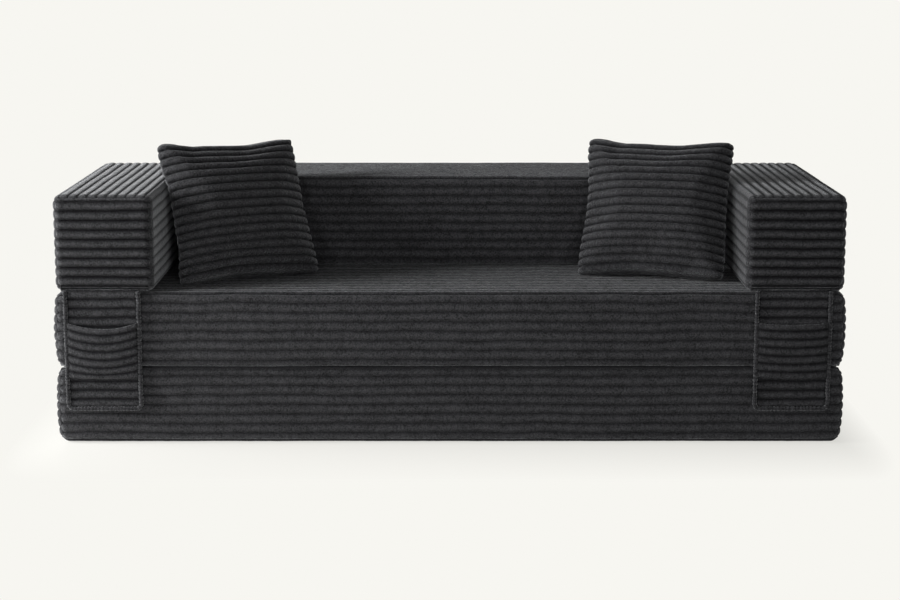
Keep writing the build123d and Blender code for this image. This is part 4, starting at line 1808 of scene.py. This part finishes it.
@dataclass(frozen=True)
class Zip:
    """A coil zip in a recess along a block's back, its slider near its closed end."""

    block: str
    tooth: float = 3.0 * MM
    section: Line = ((1.0, 0.5), (0.97, 0.8), (0.9, 0.95), (0.8, 0.8), (0.55, 0.8), (0.3, 0.8), (0.24, 1.0),
                     (0.18, 0.8))
    shield: Line = ((-5.5, 2.2), (-3.6, 3.1), (0.6, 3.6), (3.4, 4.5), (4.6, 4.4), (5.4, 3.2), (5.5, 1.2))
    arch: Line = ((-4.5, 4.3), (-4.3, 6.6), (-3.4, 7.8), (-1.8, 8.1))
    arch_hole: Line = ((-3.5, 4.8), (-3.3, 6.3), (-2.6, 7.0))
    tab: Line = ((-28.0, 1.4), (-27.4, 2.6), (-26.0, 3.3), (-20.0, 3.5), (-10.0, 3.1), (-2.0, 3.5),
                 (-0.3, 3.2))
    tab_level: float = 5.9
    tab_hole: tuple[float, float] = (-24.6, 1.2)

    def place(self, thing: bpy.types.Object, node: str) -> None:
        """Put a piece at its node, X along the zip and Z out of the block's back.

        Args:
            thing: The piece.
            node: The end of the node's name.
        """
        tape, own = (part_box(self.block + "_zip_" + name) for name in ("tape", node))
        x, z = (own[0].x + own[1].x) / 2, (tape[0].z + tape[1].z) / 2
        thing.data.transform(Matrix(((1, 0, 0, x), (0, 0, 1, tape[0].y), (0, -1, 0, z), (0, 0, 0, 1))))

    def build(self) -> None:
        """Make the tapes, the coil, the slider and the pull."""
        self.build_tapes()
        self.build_slider()
        self.build_pull()

    def build_tapes(self) -> None:
        """Two woven tapes side by side, and the coil that joins them."""
        low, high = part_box(self.block + "_zip_tape")
        length, half = high.x - low.x, (high.z - low.z) / 2
        shares, heights = np.transpose(self.section)
        v, height = np.append(-shares, shares[::-1]) * half, np.append(heights, heights[::-1]) * MM
        u = np.arange(-length / 2, length / 2 + 1e-6, 3.9 * MM)
        x, y = np.meshgrid(u * length / 2 / u.max(), v)
        top = height[:, None] + 0.05 * MM * patches(3, x, y, 20 * MM)
        tapes = shell(self.block + "_zip_tapes", points_at(x, y, top), points_at(x, y, 0.0), 0 * x)
        self.place(tapes, "tape")
        dressed(tapes, Finish.ZIP_TAPE, self.block, self.block + "_zip_tape")
        u = np.arange(-length / 2, length / 2, self.tooth / 4)
        wound = np.resize([1.1, 2.0, 2.5, 2.0], len(u)) * MM
        coil = swept(self.block + "_zip_coil", points_at(u, 0.0, 1.5 * MM), (0, 0, 1), wound, 8, 0.43)
        self.place(coil, "tape")
        dressed(coil, Finish.ZIP_TAPE, self.block)

    def build_slider(self) -> None:
        """The slider: a shield over two side walls, with an arched bridge for the pull."""
        top = plate("slider", [mirrored(self.shield)], 2.9, 4.7, 0.5)
        walls = [plate("wall", [rounded(-5.2, 5.2, 0.7, 0.6)], 1.3, 3.4, 0.3,
                       Matrix.Translation((0, side * 3.7 * MM, 0))) for side in (-1, 1)]
        outlines = [mirrored(edge, -1, 1) for edge in (self.arch, self.arch_hole)]
        bridge = plate("bridge", outlines, -1, 1, 0.3, Matrix.Rotation(math.pi / 2, 4, "X"))
        slider = joined(self.block + "_zip_slider_detailed", top, *walls, bridge)
        self.place(slider, "slider")
        dressed(slider, Finish.ZIP_METAL, self.block + "_slider", self.block + "_zip_slider")

    def build_pull(self) -> None:
        """The pull: a tapered tab with a window around its bar and a small hole at its tip."""
        middle, radius = self.tab_hole
        turns = np.linspace(0, math.tau, 17)[:-1]
        hole = [((middle + radius * math.cos(a)) * MM, radius * math.sin(a) * MM) for a in turns]
        outlines = [mirrored(self.tab), rounded(-6.9, -0.9, 2.0, 0.8), hole]
        level = self.tab_level
        body = plate("pull", outlines, level - 0.6, level + 0.6, 0.3)
        grip = plate("grip", [rounded(-20, -10.5, 1.6, 1.2)], level - 0.75, level + 0.75, 0.25)
        path = points_at(0.0, np.linspace(-3.4, 3.4, 7) * MM, level * MM)
        bar = swept("bar", path, (0, 0, 1), np.full(7, 0.68 * MM), 12)
        pull = joined(self.block + "_zip_pull_detailed", body, grip, bar)
        self.place(pull, "slider")
        dressed(pull, Finish.ZIP_METAL, self.block + "_pull", self.block + "_zip_pull")


# The studio


@dataclass(frozen=True)
class Studio:
    """Pale floor, soft lamps and the camera at the photograph's place."""

    camera_distance: float = 4.938
    camera_height: float = 1.292
    camera_pitch: float = math.radians(10.47)
    lens: float = 78.26
    floor_reach: float = 60.0
    floor_level: float = -0.5 * MM
    paper: Colour = linear(247, 246, 241)
    paper_share: tuple[float, float] = (0.7, 1.0)
    paper_reach: float = 0.36
    paper_stretch: float = 3.0
    fill: float = 0.14
    aim: Colour = (0.0, 0.0, 0.35)
    lamps: tuple[tuple[str, Colour, float, float], ...] = (
        ("key", (-3.5, -1.0, 1.15), 1.6, 140.0),
        ("side", (-3.2, -0.5, 1.5), 1.4, 48.0),
        ("front_right", (0.8, -5.2, 0.5), 1.0, 54.0),
        ("front_left", (-1.6, -5.0, 0.5), 1.0, 38.0),
        ("rear", (-2.2, 4.4, 0.8), 1.4, 140.0))

    def build(self) -> None:
        """Set up the floor, the light and the camera."""
        self.build_floor()
        self.build_surroundings()
        for lamp in self.lamps:
            self.build_lamp(*lamp)
        self.build_camera()

    def build_floor(self) -> None:
        """A wide pale floor that keeps the object's shadow, and shows as even paper far from it."""
        corners = np.array([(x, y, self.floor_level) for x, y in ((-1, -1), (1, -1), (1, 1), (-1, 1))])
        corners[:, :2] *= self.floor_reach
        floor = mesh_object("floor", corners, [(0, 1, 2, 3)])
        graph = Graph("studio floor")
        mottle = graph.noise(0.8)
        graph.set(Base_Color=graph.blend(mottle * 0.01, self.paper, (0.9, 0.9, 0.9)), Roughness=1.0,
                  Specular_IOR_Level=0.0)
        away = graph.beyond(CAD_BOX[1][:2], self.paper_stretch)
        camera = graph.add("ShaderNodeLightPath", None, None, "Is Camera Ray")
        even = graph.add("ShaderNodeEmission", None, {"Color": self.paper, "Strength": 1.0})
        graph.cover(camera * away.ramp(0.0, self.paper_reach, *self.paper_share), even)
        floor.data.materials.append(graph.material)

    def build_surroundings(self) -> None:
        """Weak even light all round, which the camera and glossy surfaces see as paper."""
        world = bpy.data.worlds.new("studio")
        bpy.context.scene.world = world
        world.use_nodes = True
        nodes = Nodes(world.node_tree)
        camera = nodes.add("ShaderNodeLightPath", None, None, "Is Camera Ray")
        seen = camera.maths("MAXIMUM", camera, camera.output("Is Glossy Ray"))
        around = nodes.add("ShaderNodeBackground", None, {"Color": (1.0, 1.0, 1.0), "Strength": self.fill})
        paper = nodes.add("ShaderNodeBackground", None, {"Color": self.paper})
        mixed = nodes.add("ShaderNodeMixShader", None, {0: seen, 1: around, 2: paper})
        nodes.add("ShaderNodeOutputWorld", None, {"Surface": mixed}, None)

    def build_lamp(self, name: str, place: Colour, size: float, power: float) -> None:
        """Add a soft lamp that faces the sofa bed.

        Args:
            name: The lamp's name.
            place: Where it stands.
            size: How wide it is.
            power: Its power in watts.
        """
        data = bpy.data.lights.new(name, "AREA")
        data.shape, data.size, data.energy = "DISK", size, power
        thing = linked(name, data)
        thing.location = place
        thing.rotation_euler = (Vector(self.aim) - Vector(place)).to_track_quat("-Z", "Y").to_euler()

    def build_camera(self) -> None:
        """The camera in front of the sofa bed, looking slightly down."""
        data = bpy.data.cameras.new("camera")
        data.lens, data.sensor_width = self.lens, 36.0
        data.clip_end = 200.0
        thing = linked("camera", data)
        thing.location = (0.0, CAD_FRONT - self.camera_distance, self.camera_height)
        thing.rotation_euler = (math.pi / 2 - self.camera_pitch, 0.0, 0.0)
        bpy.context.scene.camera = thing
        bpy.context.scene.view_settings.view_transform = "Standard"


# Putting it together


def along_x(low: Vector, high: Vector) -> Matrix:
    """Where a block stands whose length runs along X."""
    return Matrix.Translation(((low.x + high.x) / 2, (low.y + high.y) / 2, low.z))


def along_y(low: Vector, high: Vector) -> Matrix:
    """Where a block stands whose length runs along Y, its low end in front."""
    return along_x(low, high) @ Matrix.Rotation(math.pi / 2, 4, "Z")


def upside_down(low: Vector, high: Vector) -> Matrix:
    """Where a block lies on its top, its length along X."""
    return Matrix.Translation((0, 0, low.z + high.z)) @ along_x(low, high) @ Matrix.Rotation(math.pi, 4, "X")


CAD_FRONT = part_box("seat_cover")[0].y
BLOCKS = ("fold_out", "seat", "backrest", "left_arm", "right_arm")
STRIP = 40 * MM
ARM_STRIPS = {side: tuple(Patch((side * 887 + across) * MM, 0, STRIP, 560 * MM) for across in (-60, 60))
              for side in (-1, 1)}
BACKREST_STRIPS = tuple(Patch(0, y * MM, 1200 * MM, STRIP) for y in (113, 293))
SEAT_STRIPS = (*ARM_STRIPS[-1], *ARM_STRIPS[1], *BACKREST_STRIPS)


def build_block(name: str, ends: tuple[str, str], place: Callable, seed: int, **options: object) -> None:
    """Build a covered block, its sizes taken from its CAD nodes.

    Args:
        name: The name of the block and of its body.
        ends: The endings of its end panels' names, low end first.
        place: Turns the block's box into its place.
        seed: Picks its unevenness.
        options: What else is set on the block.
    """
    nodes = tuple(f"{name}_{end}" for end in ends)
    low, high = node_box(name + "_cover", *nodes)
    size = high - low
    length, span = (size.y, size.x) if place is along_y else (size.x, size.y)
    PlushBlock(name, nodes, place(low, high), length, span, size.z, seed, **options).build()


def build_blocks() -> None:
    """Build the five covered blocks."""
    slab_ends, arm_ends = ("left_end_panel", "right_end_panel"), ("front_panel", "rear_panel")
    soft = Ribs(depth=5.0 * MM, wander=2.7 * MM, unevenness=0.9 * MM, painted_shade=0.58)
    slab_end = Ribs(depth=3.2 * MM, wander=1.8 * MM, unevenness=0.9 * MM)
    arm = Ribs(pitch=24.6 * MM, depth=3.2 * MM, narrowing=2.0, painted_shade=0.55)
    arm_end = Ribs(pitch=24.6 * MM, depth=7.0 * MM, narrowing=0.9, painted_shade=0.92)
    slab = {"open_below": True, "ribs": soft, "swell": 9 * MM, "slot": Slot(1500 * MM), "end_ribs": slab_end}
    under_backrest = tuple(Patch(0, side * 90 * MM, 1200 * MM, STRIP) for side in (-1, 1))
    under_arm = tuple(Patch(0, side * 60 * MM, 560 * MM, STRIP) for side in (-1, 1))
    build_block("fold_out", slab_ends, upside_down, 10, rear=-1, **slab)
    build_block("seat", slab_ends, along_x, 20, pressed=SEAT_STRIPS, **slab)
    build_block("backrest", slab_ends, along_x, 30, ribs=Ribs(depth=5.5 * MM), slot=Slot(1200 * MM),
                pressed=under_backrest)
    for name, seed in (("left_arm", 40), ("right_arm", 50)):
        build_block(name, arm_ends, along_y, seed, ribs=arm, end_ribs=arm_end, first_groove=13.5 * MM,
                    panel_groove=13.5 * MM, slot=Slot(196 * MM), slot_in_end=True, pressed=under_arm)


def build_fastenings() -> None:
    """Build the foam, the cloths below the slabs, the strips, the fold line's welt and the zips."""
    for block in BLOCKS:
        build_foam(block)
        Zip(block).build()
    BaseCloth("fold_out_base_cloth", "fold_out", 1).build()
    BaseCloth("seat_base_cloth", "seat", -1).build()
    Strips("seat_loop_strips", "seat", Finish.LOOP_STRIP, 1, SEAT_STRIPS).build()
    Strips("backrest_hook_strips", "backrest", Finish.HOOK_STRIP, -1, BACKREST_STRIPS).build()
    for side, arm in ((-1, "left_arm"), (1, "right_arm")):
        Strips(arm + "_hook_strips", arm, Finish.HOOK_STRIP, -1, ARM_STRIPS[side]).build()
        build_hanger(arm, 100 + side)
    Welt().build()


def main() -> None:
    """Build the sofa bed and the studio around it."""
    Studio().build()
    build_blocks()
    build_fastenings()
    Pillow("left_pillow", -1, 30.0, 25.0, -0.4, 60, arm_gap=11 * MM).build()
    Pillow("right_pillow", 1, 15.5, 26.2, -0.4, 70, arm_gap=13 * MM).build()
    PocketFlap("left_flap", "left_arm", 16 * MM, 80).build()
    PocketFlap("right_flap", "right_arm", 5 * MM, 90).build()


if __name__ == "__main__":
    main()
